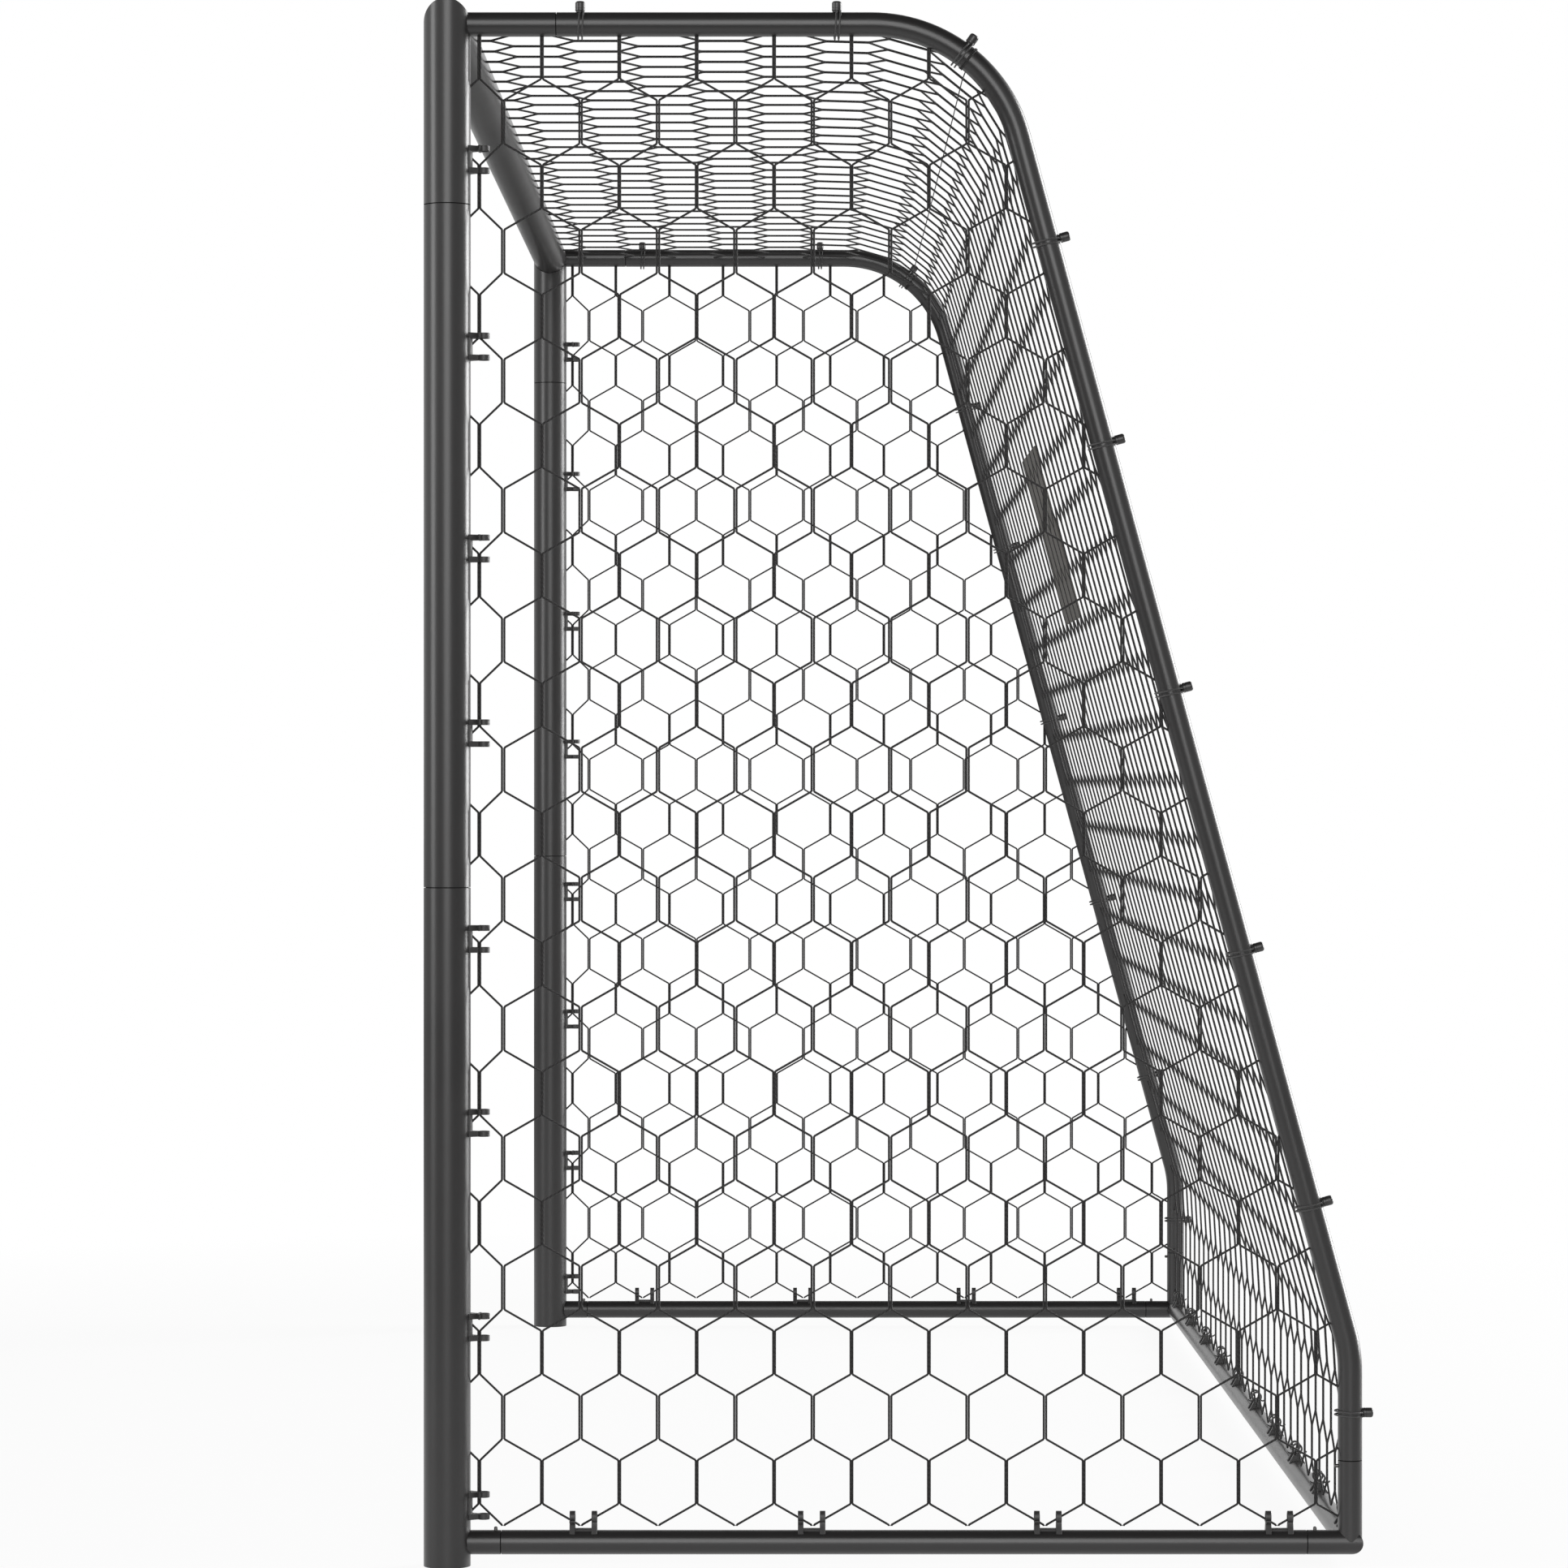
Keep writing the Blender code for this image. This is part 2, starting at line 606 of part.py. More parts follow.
# ---- Snap buttons and their springs ------------------------------------------------------
BUTTON_PLACES = (
    ("front", (POST_X + BUTTON_FRONT, GROUND_AXIS), (0.0, 0.0, 0.0)),
    ("rear", (POST_X + BUTTON_REAR, GROUND_AXIS), (0.0, 0.0, math.pi)),
    ("upright", (REAR_X, BUTTON_UPRIGHT), (0.0, -math.pi / 2, 0.0)),
)
BUTTON_HEAD = 0.0092          # underside of the button's head, from the tube's axis


def button_mesh():
    """Domed pin with a head inside the spigot; Z is the way it springs out."""
    tip = STAY_R + BUTTON_PROUD
    head_top = BUTTON_HEAD + 0.0010
    profile = [(0.0, tip), (BUTTON_R * 0.6, tip - 0.0004), (BUTTON_R, tip - 0.0014)]
    profile += [(BUTTON_R, head_top), (0.0038, head_top), (0.0038, BUTTON_HEAD)]
    profile += [(0.0, BUTTON_HEAD)]
    return turned("button", profile, 8)


def spring_mesh():
    """V-shaped leaf: one leg under the button's head, the other on the far wall."""
    leg = STAY_SPIGOT_R - STAY_WALL - 0.0010
    middle = SPRING_GAUGE / 2
    line = [
        (-0.0045, BUTTON_HEAD - GAP - middle),
        (0.0045, BUTTON_HEAD - GAP - middle),
        (SPRING_LENGTH - 0.0015, 0.0006),
        (SPRING_LENGTH, -0.0006),
        (SPRING_LENGTH - 0.0015, -0.0018),
        (-0.0045, -leg + middle),
    ]
    mesh = bpy.data.meshes.new("spring_line")
    width = SPRING_WIDTH / 2
    points = [(x, y, z) for y in (-width, width) for x, z in line]
    count = len(line)
    faces = [(i, i + 1, i + 1 + count, i + count) for i in range(count - 1)]
    mesh.from_pydata(points, [], faces)
    leaf = add_tool("spring", mesh)
    shell = leaf.modifiers.new("gauge", "SOLIDIFY")
    shell.thickness = SPRING_GAUGE
    shell.offset = 0.0
    leaf.data = evaluated_mesh(leaf)
    leaf.modifiers.clear()
    return leaf


def make_buttons():
    button = button_mesh()
    spring = spring_mesh()
    for solid in (button, spring):
        solid.data.materials.append(SPRING_STEEL)
    for station, (x, z), turn in BUTTON_PLACES:
        for side, y in (("right", -HALF), ("left", HALF)):
            copy_of(button, f"snap_button_{station}_{side}", (x, y, z), turn)
            copy_of(spring, f"button_spring_{station}_{side}", (x, y, z), turn)
    button.data.shade_smooth()
    button.data.set_sharp_from_angle(angle=math.radians(30))
    for solid in (button, spring):
        bpy.data.objects.remove(solid, do_unlink=True)


# ---- Net ---------------------------------------------------------------------------------
def mesh_gap(across, along):
    """One hexagonal gap of the net, its long sides along the second axis."""
    keep = 1 - NET_STRAND / NET_CELL
    half_width = NET_CELL / 2 * keep
    side = NET_LONG_SIDE / 2 * keep
    point = (NET_ROW - NET_LONG_SIDE / 2) * keep
    return [
        (across + half_width, along - side), (across + half_width, along + side),
        (across, along + point), (across - half_width, along + side),
        (across - half_width, along - side), (across, along - point),
    ]


def trim(loop, start, normal):
    """The part of a convex loop on the side of a line that the normal points to."""
    kept = []
    for here, there in zip(loop, loop[1:] + loop[:1]):
        a = (here[0] - start[0]) * normal[0] + (here[1] - start[1]) * normal[1]
        b = (there[0] - start[0]) * normal[0] + (there[1] - start[1]) * normal[1]
        if a >= 0:
            kept.append(here)
        if a * b < 0:
            share = a / (a - b)
            kept.append((here[0] + share * (there[0] - here[0]),
                         here[1] + share * (there[1] - here[1])))
    return kept


def loop_area(loop):
    return sum(a[0] * b[1] - b[0] * a[1] for a, b in zip(loop, loop[1:] + loop[:1])) / 2


def net_gaps(outline, borders, origin):
    """Gaps of the net inside a convex outline, which runs anticlockwise.

    Each side of the outline keeps a border of its own width. The mesh is counted from the
    origin, and a gap that the border leaves too small is left out.
    """
    low = [min(p[axis] for p in outline) for axis in (0, 1)]
    high = [max(p[axis] for p in outline) for axis in (0, 1)]
    full = loop_area(mesh_gap(0.0, 0.0))
    gaps = []
    first_row = math.floor((low[1] - origin[1]) / NET_ROW) - 1
    last_row = math.ceil((high[1] - origin[1]) / NET_ROW) + 1
    for row in range(first_row, last_row + 1):
        shift = NET_CELL / 2 if row % 2 else 0.0
        first = math.floor((low[0] - origin[0] - shift) / NET_CELL) - 1
        last = math.ceil((high[0] - origin[0] - shift) / NET_CELL) + 1
        for column in range(first, last + 1):
            gap = mesh_gap(origin[0] + shift + column * NET_CELL, origin[1] + row * NET_ROW)
            for here, there, border in zip(outline, outline[1:] + outline[:1], borders):
                edge = Vector((there[0] - here[0], there[1] - here[1])).normalized()
                inward = (-edge.y, edge.x)
                start = (here[0] + inward[0] * border, here[1] + inward[1] * border)
                gap = trim(gap, start, inward)
                if len(gap) < 3:
                    break
            if len(gap) >= 3 and loop_area(gap) > full * NET_LEAST_GAP:
                gaps.append(gap)
    return gaps


def make_side_nets():
    """Panels in the planes of the side frames, from the posts' clips to the side rails."""
    front = POST_X + POST_R + CLIP_SEAT
    upper, lower = bend_distances()
    edge = []
    for x, z, turn in map(rail_frame, upper + lower):
        edge.append((x - NET_CLEAR * math.sin(turn), z - NET_CLEAR * math.cos(turn)))
    outline = [(front, TOP_Z - NET_CLEAR)] + edge + [(REAR_X - NET_CLEAR, CLIP_LINE_Z),
                                                     (front, CLIP_LINE_Z)]
    outline.reverse()
    gaps = net_gaps(outline, [NET_BORDER] * len(outline), (front, CLIP_LINE_Z))
    panel = plate("net_side", outline, gaps, NET_THICKNESS)
    panel.data.transform(Matrix.Rotation(math.radians(90), 4, "X"))
    both_sides(panel, "net_side", NET_CORD)
    return len(gaps)


def lay_on_rails(panel, folds):
    """Crease a flat panel, whose Y is the distance along the rails, and lay it over them."""
    shape = bmesh.new()
    shape.from_mesh(panel.data)
    for distance in folds:
        parts = shape.verts[:] + shape.edges[:] + shape.faces[:]
        bmesh.ops.bisect_plane(shape, geom=parts, dist=0.00001,
                               plane_co=(0.0, distance, 0.0), plane_no=(0.0, 1.0, 0.0))
    for vertex in shape.verts:
        across, distance, height = vertex.co
        x, z, turn = rail_frame(distance)
        vertex.co = (x + height * math.sin(turn), across, z + height * math.cos(turn))
    # across and along change places on the way, which turns the faces over
    bmesh.ops.reverse_faces(shape, faces=shape.faces)
    shape.to_mesh(panel.data)
    shape.free()


def make_main_net():
    """Roof, shoulder, back and low back: one mesh, parted where the rails start to bend."""
    start = POST_R + 0.0030
    end = LOWER_BEND_END + LOWER_BEND[1] - CLIP_LINE_Z
    shoulder_folds = [ROOF_RUN + BEND_R * UPPER_TURN * step / NET_SHOULDER_STEPS
                      for step in range(1, NET_SHOULDER_STEPS)]
    panels = (
        ("net_roof", start, ROOF_RUN, []),
        ("net_shoulder", ROOF_RUN, UPPER_BEND_END, shoulder_folds),
        ("net_back", UPPER_BEND_END, SLOPE_END, []),
        ("net_back_low", SLOPE_END, end, [LOWER_BEND_END]),
    )
    count = 0
    for name, first, last, folds in panels:
        low = first + (GAP / 2 if first > start else 0.0)
        high = last - (GAP / 2 if last < end else 0.0)
        outline = [(-NET_REACH, low), (NET_REACH, low), (NET_REACH, high), (-NET_REACH, high)]
        borders = [
            NET_SPLIT_BORDER if first > start else NET_BORDER, NET_BORDER,
            NET_SPLIT_BORDER if last < end else NET_BORDER, NET_BORDER]
        gaps = net_gaps(outline, borders, (0.0, start))
        panel = plate(name, outline, gaps, NET_THICKNESS)
        lay_on_rails(panel, folds)
        finish(panel, NET_CORD)
        count += len(gaps)
    return count


def make_badge():
    """Bare sheet on the inner face of the back net, at half its width."""
    half_width = BADGE_WIDTH / 2
    half_height = BADGE_HEIGHT / 2
    outline = [(-half_height, -half_width), (half_height, -half_width),
               (half_height, half_width), (-half_height, half_width)]
    sheet = plate("badge_plate", outline, [], BADGE_THICKNESS)
    down = (TOP_Z - BEND_R + BEND_R * math.sin(BACK_LEAN) - BADGE_CENTRE_Z) / math.cos(BACK_LEAN)
    x, z, turn = rail_frame(UPPER_BEND_END + down)
    inset = NET_THICKNESS / 2 + GAP + BADGE_THICKNESS / 2
    place = (x - inset * math.sin(turn), 0.0, z - inset * math.cos(turn))
    finish(sheet, BADGE_SHEET, place, (0.0, turn, 0.0))


def make_support_cord():
    """Thin cord from rail to rail, just under the net's shoulder."""
    radius = BEND_R - CORD_DROP
    x = UPPER_BEND[0] + radius * math.sin(CORD_TURN)
    z = UPPER_BEND[1] + radius * math.cos(CORD_TURN)
    reach = HALF - STAY_R
    steps = 8
    stations = []
    for step in range(steps + 1):
        share = 2 * step / steps - 1
        stations.append(((x, reach * share, z - CORD_SAG * (1 - share ** 2)), CORD_R))
    finish(rod("support_cord", stations, 8), NET_CORD)


# ---- Ties --------------------------------------------------------------------------------
def tie_mesh():
    """Two turns of elastic cord, side by side as a band round a rail, and a barrel cap.

    The rail's axis is X and the cap stands out along +Z.
    """
    points = 8
    ring_r = (STAY_R + GAP + TIE_CORD_R) / math.cos(math.pi / points)
    angles = [2 * math.pi * step / points for step in range(points)]
    stations = [((0.0, ring_r * math.sin(a), ring_r * math.cos(a)), TIE_CORD_R)
                for a in angles]
    band = rod("tie_turns", stations, 4, closed=True)
    for vertex in band.data.vertices:
        vertex.co.x *= TIE_BAND / TIE_CORD_R
    low = STAY_R + GAP * 2
    high = STAY_R + TIE_PROUD
    profile = [(0.0, high), (0.0065, high), (0.0065, low + 0.0040), (0.0044, low), (0.0, low)]
    return combine(turned("tie", profile, 8), "UNION", [band])


def make_ties():
    tie = tie_mesh()
    tie.data.materials.append(ELASTIC)
    for number, distance in enumerate(TIE_STATIONS, 1):
        x, z, turn = rail_frame(distance)
        for side, y in (("right", -HALF), ("left", HALF)):
            copy_of(tie, f"net_tie_{side}_{number}", (x, y, z), (0.0, turn, 0.0))
    bpy.data.objects.remove(tie, do_unlink=True)


def main():
    make_posts()
    make_foot_plugs()
    make_top_corners()
    make_crossbar()
    make_side_rails()
    make_ground_rails()
    make_rear_corners()
    make_rear_bar()
    make_buttons()
    gaps = 2 * make_side_nets() + make_main_net()
    make_badge()
    make_support_cord()
    make_ties()
    for clip in (POST_CLIP, STAY_CLIP):
        bpy.data.objects.remove(clip, do_unlink=True)
    parts = [obj for obj in GOAL.objects if obj.type == "MESH"]
    for obj in parts:
        obj.data.calc_loop_triangles()
    triangles = sum(len(obj.data.loop_triangles) for obj in parts)
    print(f"{len(parts)} parts, {triangles} triangles, {gaps} gaps in the net")


main()
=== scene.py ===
# %% [markdown]
# # A free-standing football goal, dressed for its portrait
#
# The goal is a frame of black powder-coated steel tube with a net of hexagonal mesh hung in it.
# The frame's solids were built and packed beforehand, so this lesson never moves them: it
# reads where they are, and puts a finer piece in the place of each one that needs it. Round
# tubes get more sides and soft tube ends, the net gets its real twines, the clips and ties get
# their real shapes, and every surface gets a finish made from nodes.
#
# The frame's own record gives the places of the feet and of the snap buttons, and the solids'
# boxes give the seams. From them and a few sizes everything else is worked out, so nothing here
# can drift from the solids.

import json
import math

import bmesh
import bpy
from mathutils import Euler, Matrix, Vector


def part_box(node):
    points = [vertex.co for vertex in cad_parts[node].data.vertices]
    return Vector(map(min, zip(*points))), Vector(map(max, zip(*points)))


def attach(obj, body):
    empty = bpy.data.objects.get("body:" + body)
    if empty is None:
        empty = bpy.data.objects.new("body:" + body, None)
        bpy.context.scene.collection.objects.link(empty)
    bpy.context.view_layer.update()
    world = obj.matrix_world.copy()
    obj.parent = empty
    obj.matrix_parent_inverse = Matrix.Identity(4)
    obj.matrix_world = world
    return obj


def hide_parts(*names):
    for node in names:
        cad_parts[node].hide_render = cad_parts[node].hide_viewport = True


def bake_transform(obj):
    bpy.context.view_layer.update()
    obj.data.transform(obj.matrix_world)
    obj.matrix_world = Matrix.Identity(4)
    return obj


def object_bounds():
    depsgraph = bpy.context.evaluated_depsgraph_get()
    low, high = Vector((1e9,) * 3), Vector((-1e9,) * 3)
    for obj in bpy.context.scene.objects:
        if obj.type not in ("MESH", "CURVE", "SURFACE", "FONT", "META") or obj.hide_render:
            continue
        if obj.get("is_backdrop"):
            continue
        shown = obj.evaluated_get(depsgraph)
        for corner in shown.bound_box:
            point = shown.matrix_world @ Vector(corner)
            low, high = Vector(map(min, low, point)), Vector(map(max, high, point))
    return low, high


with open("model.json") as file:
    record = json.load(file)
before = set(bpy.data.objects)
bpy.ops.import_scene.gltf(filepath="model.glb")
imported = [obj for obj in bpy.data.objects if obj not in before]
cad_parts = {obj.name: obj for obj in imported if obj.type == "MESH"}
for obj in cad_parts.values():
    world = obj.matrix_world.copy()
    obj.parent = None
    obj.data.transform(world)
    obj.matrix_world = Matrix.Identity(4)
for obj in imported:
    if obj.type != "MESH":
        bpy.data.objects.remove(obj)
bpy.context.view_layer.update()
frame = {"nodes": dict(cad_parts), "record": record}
RECORD = frame["record"]
SIDES = {"right": -1, "left": 1}

mounts = {mount["name"]: mount["pos_m"] for mount in RECORD["mounts"]}
joints = {joint["name"]: joint["pos_m"] for joint in RECORD["behaviour"]["joints"]}
POST_X, HALF, _ = mounts["foot_left"]
REAR_X = joints["press_upright_left"][0]

HEIGHT = 2.000
POST_R = 0.030
POST_WALL = 0.0018
STAY_R = 0.0155
STAY_WALL = 0.0015
GROUND_AXIS = 0.030
TOP_Z = HEIGHT - POST_R
SEAM_GAP = 0.0003

SEAM_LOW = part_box("post_upper_right")[0].z
SEAM_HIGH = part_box("top_corner_right")[0].z
ROOF_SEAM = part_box("top_corner_right")[1].x
GROUND_SEAM_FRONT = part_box("post_lower_right")[1].x
GROUND_SEAM_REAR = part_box("rear_corner_right")[0].x
UPRIGHT_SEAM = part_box("rear_corner_right")[1].z
print(f"post axis x {POST_X:.4f}, side frames at y {HALF:.3f}, rear axis x {REAR_X:.4f}")
print(f"seams: posts {SEAM_LOW:.3f} and {SEAM_HIGH:.3f}, roof {ROOF_SEAM:.3f}")

# %% [markdown]
# ## The path of a bent side rail
#
# Each side rail is one tube, bent twice on a mandrel: level roof run, 75-degree bend, straight
# slope, 15-degree bend, short upright. A bend of constant radius is an arc, so a formula gives
# every place on it. The function takes the distance from the post along the rail, as a tape
# measure would, because ties and net are spaced along the tube and not along the ground.

# %% Rail path
ROOF_RUN = 0.5427
BEND_R = 0.195
BACK_LEAN = math.radians(15.25)
UPPER_TURN = math.pi / 2 - BACK_LEAN
UPPER_BEND = (POST_X + ROOF_RUN, TOP_Z - BEND_R)
BEND_SPREAD = REAR_X - BEND_R - UPPER_BEND[0]
LOWER_BEND = (REAR_X - BEND_R, UPPER_BEND[1] - BEND_SPREAD / math.tan(BACK_LEAN))
UPPER_BEND_END = ROOF_RUN + BEND_R * UPPER_TURN
SLOPE_END = UPPER_BEND_END + BEND_SPREAD / math.sin(BACK_LEAN)
LOWER_BEND_END = SLOPE_END + BEND_R * BACK_LEAN


def rail_place(distance):
    """Place (x, z) on the rail's axis, and the turn of its outer side from straight up."""
    if distance <= ROOF_RUN:
        return POST_X + distance, TOP_Z, 0.0
    if distance <= UPPER_BEND_END:
        turn = (distance - ROOF_RUN) / BEND_R
        x = UPPER_BEND[0] + BEND_R * math.sin(turn)
        return x, UPPER_BEND[1] + BEND_R * math.cos(turn), turn
    if distance <= SLOPE_END:
        along = distance - UPPER_BEND_END
        x, z, turn = rail_place(UPPER_BEND_END)
        return x + along * math.sin(BACK_LEAN), z - along * math.cos(BACK_LEAN), turn
    if distance <= LOWER_BEND_END:
        turn = UPPER_TURN + (distance - SLOPE_END) / BEND_R
        x = LOWER_BEND[0] + BEND_R * math.sin(turn)
        return x, LOWER_BEND[1] + BEND_R * math.cos(turn), turn
    return REAR_X, LOWER_BEND[1] - (distance - LOWER_BEND_END), math.pi / 2


def steps(first, last, count):
    """Evenly spaced values from first to last, both included."""
    return [first + (last - first) * step / count for step in range(count + 1)]


BEND_STEPS = 28
LOW_BEND_STEPS = 8
rail_stops = steps(ROOF_RUN, UPPER_BEND_END, BEND_STEPS)
rail_stops += steps(SLOPE_END, LOWER_BEND_END, LOW_BEND_STEPS)
print(f"rail: bend ends at {UPPER_BEND_END:.3f} m, slope at {SLOPE_END:.3f} m")

# %% [markdown]
# ## Helpers for node trees
#
# Materials and Geometry Nodes are both trees, so one small function serves them: it adds a
# node, sets its properties, and either links or fills its sockets. Shorter ones write a sum, a
# change of range or a stored value in one line. The last two open a Geometry Nodes tree with
# named inputs and close it.

# %% Node helpers


def linear(hex_colour):
    """Linear colour with alpha from an sRGB hex value such as 3b3b3b."""
    channels = [int(hex_colour[i:i + 2], 16) / 255 for i in (0, 2, 4)]
    return [c / 12.92 if c <= 0.04045 else ((c + 0.055) / 1.055) ** 2.4 for c in channels] + [1.0]


def add_node(tree, kind, inputs=None, **settings):
    """Add a node, with each input either linked from a socket or set to a value."""
    node = tree.nodes.new(kind)
    for name, value in settings.items():
        setattr(node, name, value)
    for name, value in (inputs or {}).items():
        if isinstance(value, bpy.types.NodeSocket):
            tree.links.new(value, node.inputs[name])
        else:
            node.inputs[name].default_value = value
    return node


def math_node(tree, operation, *values):
    """Result of a math node whose operands are sockets or numbers."""
    node = add_node(tree, "ShaderNodeMath", dict(enumerate(values)), operation=operation)
    return node.outputs["Value"]


def ranged(tree, value, low_high, results, **settings):
    """A value carried from one range (low, high) to another."""
    return add_node(tree, "ShaderNodeMapRange", {
        "Value": value, "From Min": low_high[0], "From Max": low_high[1], "To Min": results[0],
        "To Max": results[1]}, **settings).outputs["Result"]


def stored(tree, name, kind):
    """What is stored under a name at each point."""
    return add_node(tree, "GeometryNodeInputNamedAttribute", {"Name": name},
                    data_type=kind).outputs["Attribute"]


def store(tree, geometry, name, value, kind):
    """Geometry with a value stored under a name at each point."""
    return add_node(tree, "GeometryNodeStoreNamedAttribute", {
        "Geometry": geometry, "Name": name, "Value": value},
        data_type=kind, domain="POINT").outputs["Geometry"]


print("node helpers ready")

# %% Tree helpers


def new_tree(name, inputs):
    """Geometry Nodes tree with a Geometry input and the named inputs (socket type, value)."""
    tree = bpy.data.node_groups.new(name, "GeometryNodeTree")
    tree.interface.new_socket("Geometry", in_out="INPUT", socket_type="NodeSocketGeometry")
    tree.interface.new_socket("Geometry", in_out="OUTPUT", socket_type="NodeSocketGeometry")
    for label, (kind, value) in inputs.items():
        socket = tree.interface.new_socket(label, in_out="INPUT", socket_type=kind)
        if value is not None:
            socket.default_value = value
    return tree, tree.nodes.new("NodeGroupInput").outputs


def end_tree(tree, geometry, finish, where=True):
    """Close a tree as every tree here ends: real geometry with its material set."""
    real = add_node(tree, "GeometryNodeRealizeInstances", {"Geometry": geometry})
    painted = add_node(tree, "GeometryNodeSetMaterial", {
        "Geometry": real.outputs["Geometry"], "Selection": where, "Material": finish})
    add_node(tree, "NodeGroupOutput", {"Geometry": painted.outputs["Geometry"]})


print("tree helpers ready")

# %% [markdown]
# ## Helpers for meshes
#
# A tree works on an object. So a path or a set of points becomes an object for a moment, the
# tree runs as its modifier, and the plain result is kept, because a finished piece has to be a
# real mesh. Cuts and joins are made with bmesh, which opens a mesh for editing.
#
# Every piece then gets smooth shading with its creases kept sharp and the body it rides on,
# and the solids that it stands for are hidden.

# %% Growing meshes


def show(name, data):
    """Object with this mesh, curve, lamp or camera in the scene, at the origin."""
    piece = bpy.data.objects.new(name, data)
    bpy.context.scene.collection.objects.link(piece)
    return piece


def plain_mesh(source):
    """The mesh that an object's modifiers give."""
    bpy.context.view_layer.update()
    depsgraph = bpy.context.evaluated_depsgraph_get()
    return bpy.data.meshes.new_from_object(source.evaluated_get(depsgraph))


def grow(tree, start_mesh, **values):
    """Run a tree on a start mesh and return the finished, plain mesh."""
    source = show("growing", start_mesh)
    modifier = source.modifiers.new("grow", "NODES")
    modifier.node_group = tree
    for item in tree.interface.items_tree:
        label = item.name.replace(" ", "_")
        if item.in_out == "INPUT" and label in values:
            modifier[item.identifier] = values[label]
    mesh = plain_mesh(source)
    bpy.data.objects.remove(source, do_unlink=True)
    bpy.data.meshes.remove(start_mesh)
    return mesh


def path_mesh(paths, radii=None):
    """Loose edges through each path's points, with an optional radius at each point."""
    mesh = bpy.data.meshes.new("paths")
    points = [point for path in paths for point in path]
    edges = []
    first = 0
    for path in paths:
        edges += [(first + i, first + i + 1) for i in range(len(path) - 1)]
        first += len(path)
    mesh.from_pydata(points, edges, [])
    if radii:
        radius = mesh.attributes.new("radius_here", "FLOAT", "POINT")
        radius.data.foreach_set("value", radii)
    return mesh


print("growing helpers ready")

# %% Finishing pieces


def opened(*meshes):
    """One shape to edit, from any number of meshes."""
    shape = bmesh.new()
    for mesh in meshes:
        shape.from_mesh(mesh)
    return shape


def closed(shape, mesh):
    """Write an edited shape into a mesh."""
    shape.to_mesh(mesh)
    shape.free()
    return mesh


def finish_piece(mesh, name, body, replaced, sharp=28):
    """Show a mesh as a piece of the goal that stands for CAD nodes and rides on a body, if any."""
    mesh.name = name
    mesh.shade_smooth()
    mesh.set_sharp_from_angle(angle=math.radians(sharp))
    shape = opened(mesh)
    for edge in shape.edges:
        if len({face.material_index for face in edge.link_faces}) > 1:
            edge.smooth = False
    piece = show(name, closed(shape, mesh))
    if body:
        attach(piece, body)
    if replaced:
        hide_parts(*replaced)
    return piece


print("finishing helpers ready")

# %% [markdown]
# ## Powder coat
#
# The tubes are mild steel, sprayed with dry polyester powder and baked. The powder flows out
# into a tough film about 0.08 mm thick with a faint orange peel, whose bumps are 1 to 2 mm
# across. To the eye that is an even, near-black grey, glossy enough for soft streaks along
# the tube, and slightly broken up where the film is thinner. A Principled shader with a noise
# in its roughness and a shallow bump gives this. It isn't metallic: the steel never shows.
#
# Every finish here is built from the same three moves: a tone between two greys, a range of
# roughness, and a bump, each driven by a noise or another pattern.

# %% Material helpers


def new_material(name, hex_colour, roughness, **sockets):
    """Principled material; returns it with its tree and shader for more nodes."""
    made = bpy.data.materials.new(name)
    made.use_nodes = True
    tree = made.node_tree
    shader = tree.nodes["Principled BSDF"]
    shader.inputs["Base Color"].default_value = linear(hex_colour)
    shader.inputs["Roughness"].default_value = roughness
    for label, value in sockets.items():
        shader.inputs[label.replace("_", " ")].default_value = value
    made.diffuse_color = linear(hex_colour)
    return made, tree, shader


def noise(tree, scale, detail, roughness=0.5, place=None):
    """A noise that is fixed to its object."""
    place = place or add_node(tree, "ShaderNodeTexCoord").outputs["Object"]
    return add_node(tree, "ShaderNodeTexNoise", {
        "Vector": place, "Scale": scale, "Detail": detail, "Roughness": roughness}).outputs["Fac"]


def set_tone(tree, shader, factor, dark, light):
    """Base colour between two hex values, by a factor."""
    tone = add_node(tree, "ShaderNodeValToRGB", {"Fac": factor})
    for element, colour in zip(tone.color_ramp.elements, (dark, light)):
        element.color = linear(colour)
    tree.links.new(tone.outputs["Color"], shader.inputs["Base Color"])


def set_rough(tree, shader, factor, low, high):
    """Roughness between two values, by a factor."""
    tree.links.new(ranged(tree, factor, (0.0, 1.0), (low, high)), shader.inputs["Roughness"])


def set_bump(tree, shader, height, strength, depth):
    """Relief of a given depth in metres."""
    bump = add_node(tree, "ShaderNodeBump", {
        "Height": height, "Strength": strength, "Distance": depth})
    tree.links.new(bump.outputs["Normal"], shader.inputs["Normal"])


print("material helpers ready")

# %% Powder coat


def powder_coat():
    made, tree, shader = new_material("black_powder_coated_steel", "282727", 0.32, IOR=1.5)
    cloud = noise(tree, 9.0, 4.0, 0.6)
    set_tone(tree, shader, cloud, "252424", "2b2a2a")
    set_rough(tree, shader, cloud, 0.28, 0.35)
    set_bump(tree, shader, noise(tree, 620.0, 2.0, 0.45), 0.05, 0.0003)
    return made


POWDER_COAT = powder_coat()
print("made", POWDER_COAT.name)

# %% [markdown]
# The swaged ends that slide into the next tube are masked before spraying, or they would jam.
# They keep a dark grey phosphate skin, dead matt and slightly blotched by the bath. Only a hair
# of it shows, in the seams, which it turns into fine dark lines.

# %% Phosphated steel


def phosphated_steel():
    made, tree, shader = new_material("phosphated_steel", "161616", 0.85, IOR=1.5,
                                      Specular_IOR_Level=0.15)
    set_tone(tree, shader, noise(tree, 140.0, 4.0, 0.65), "121212", "1f1f1e")
    return made


BARE_STEEL = phosphated_steel()
print("made", BARE_STEEL.name)

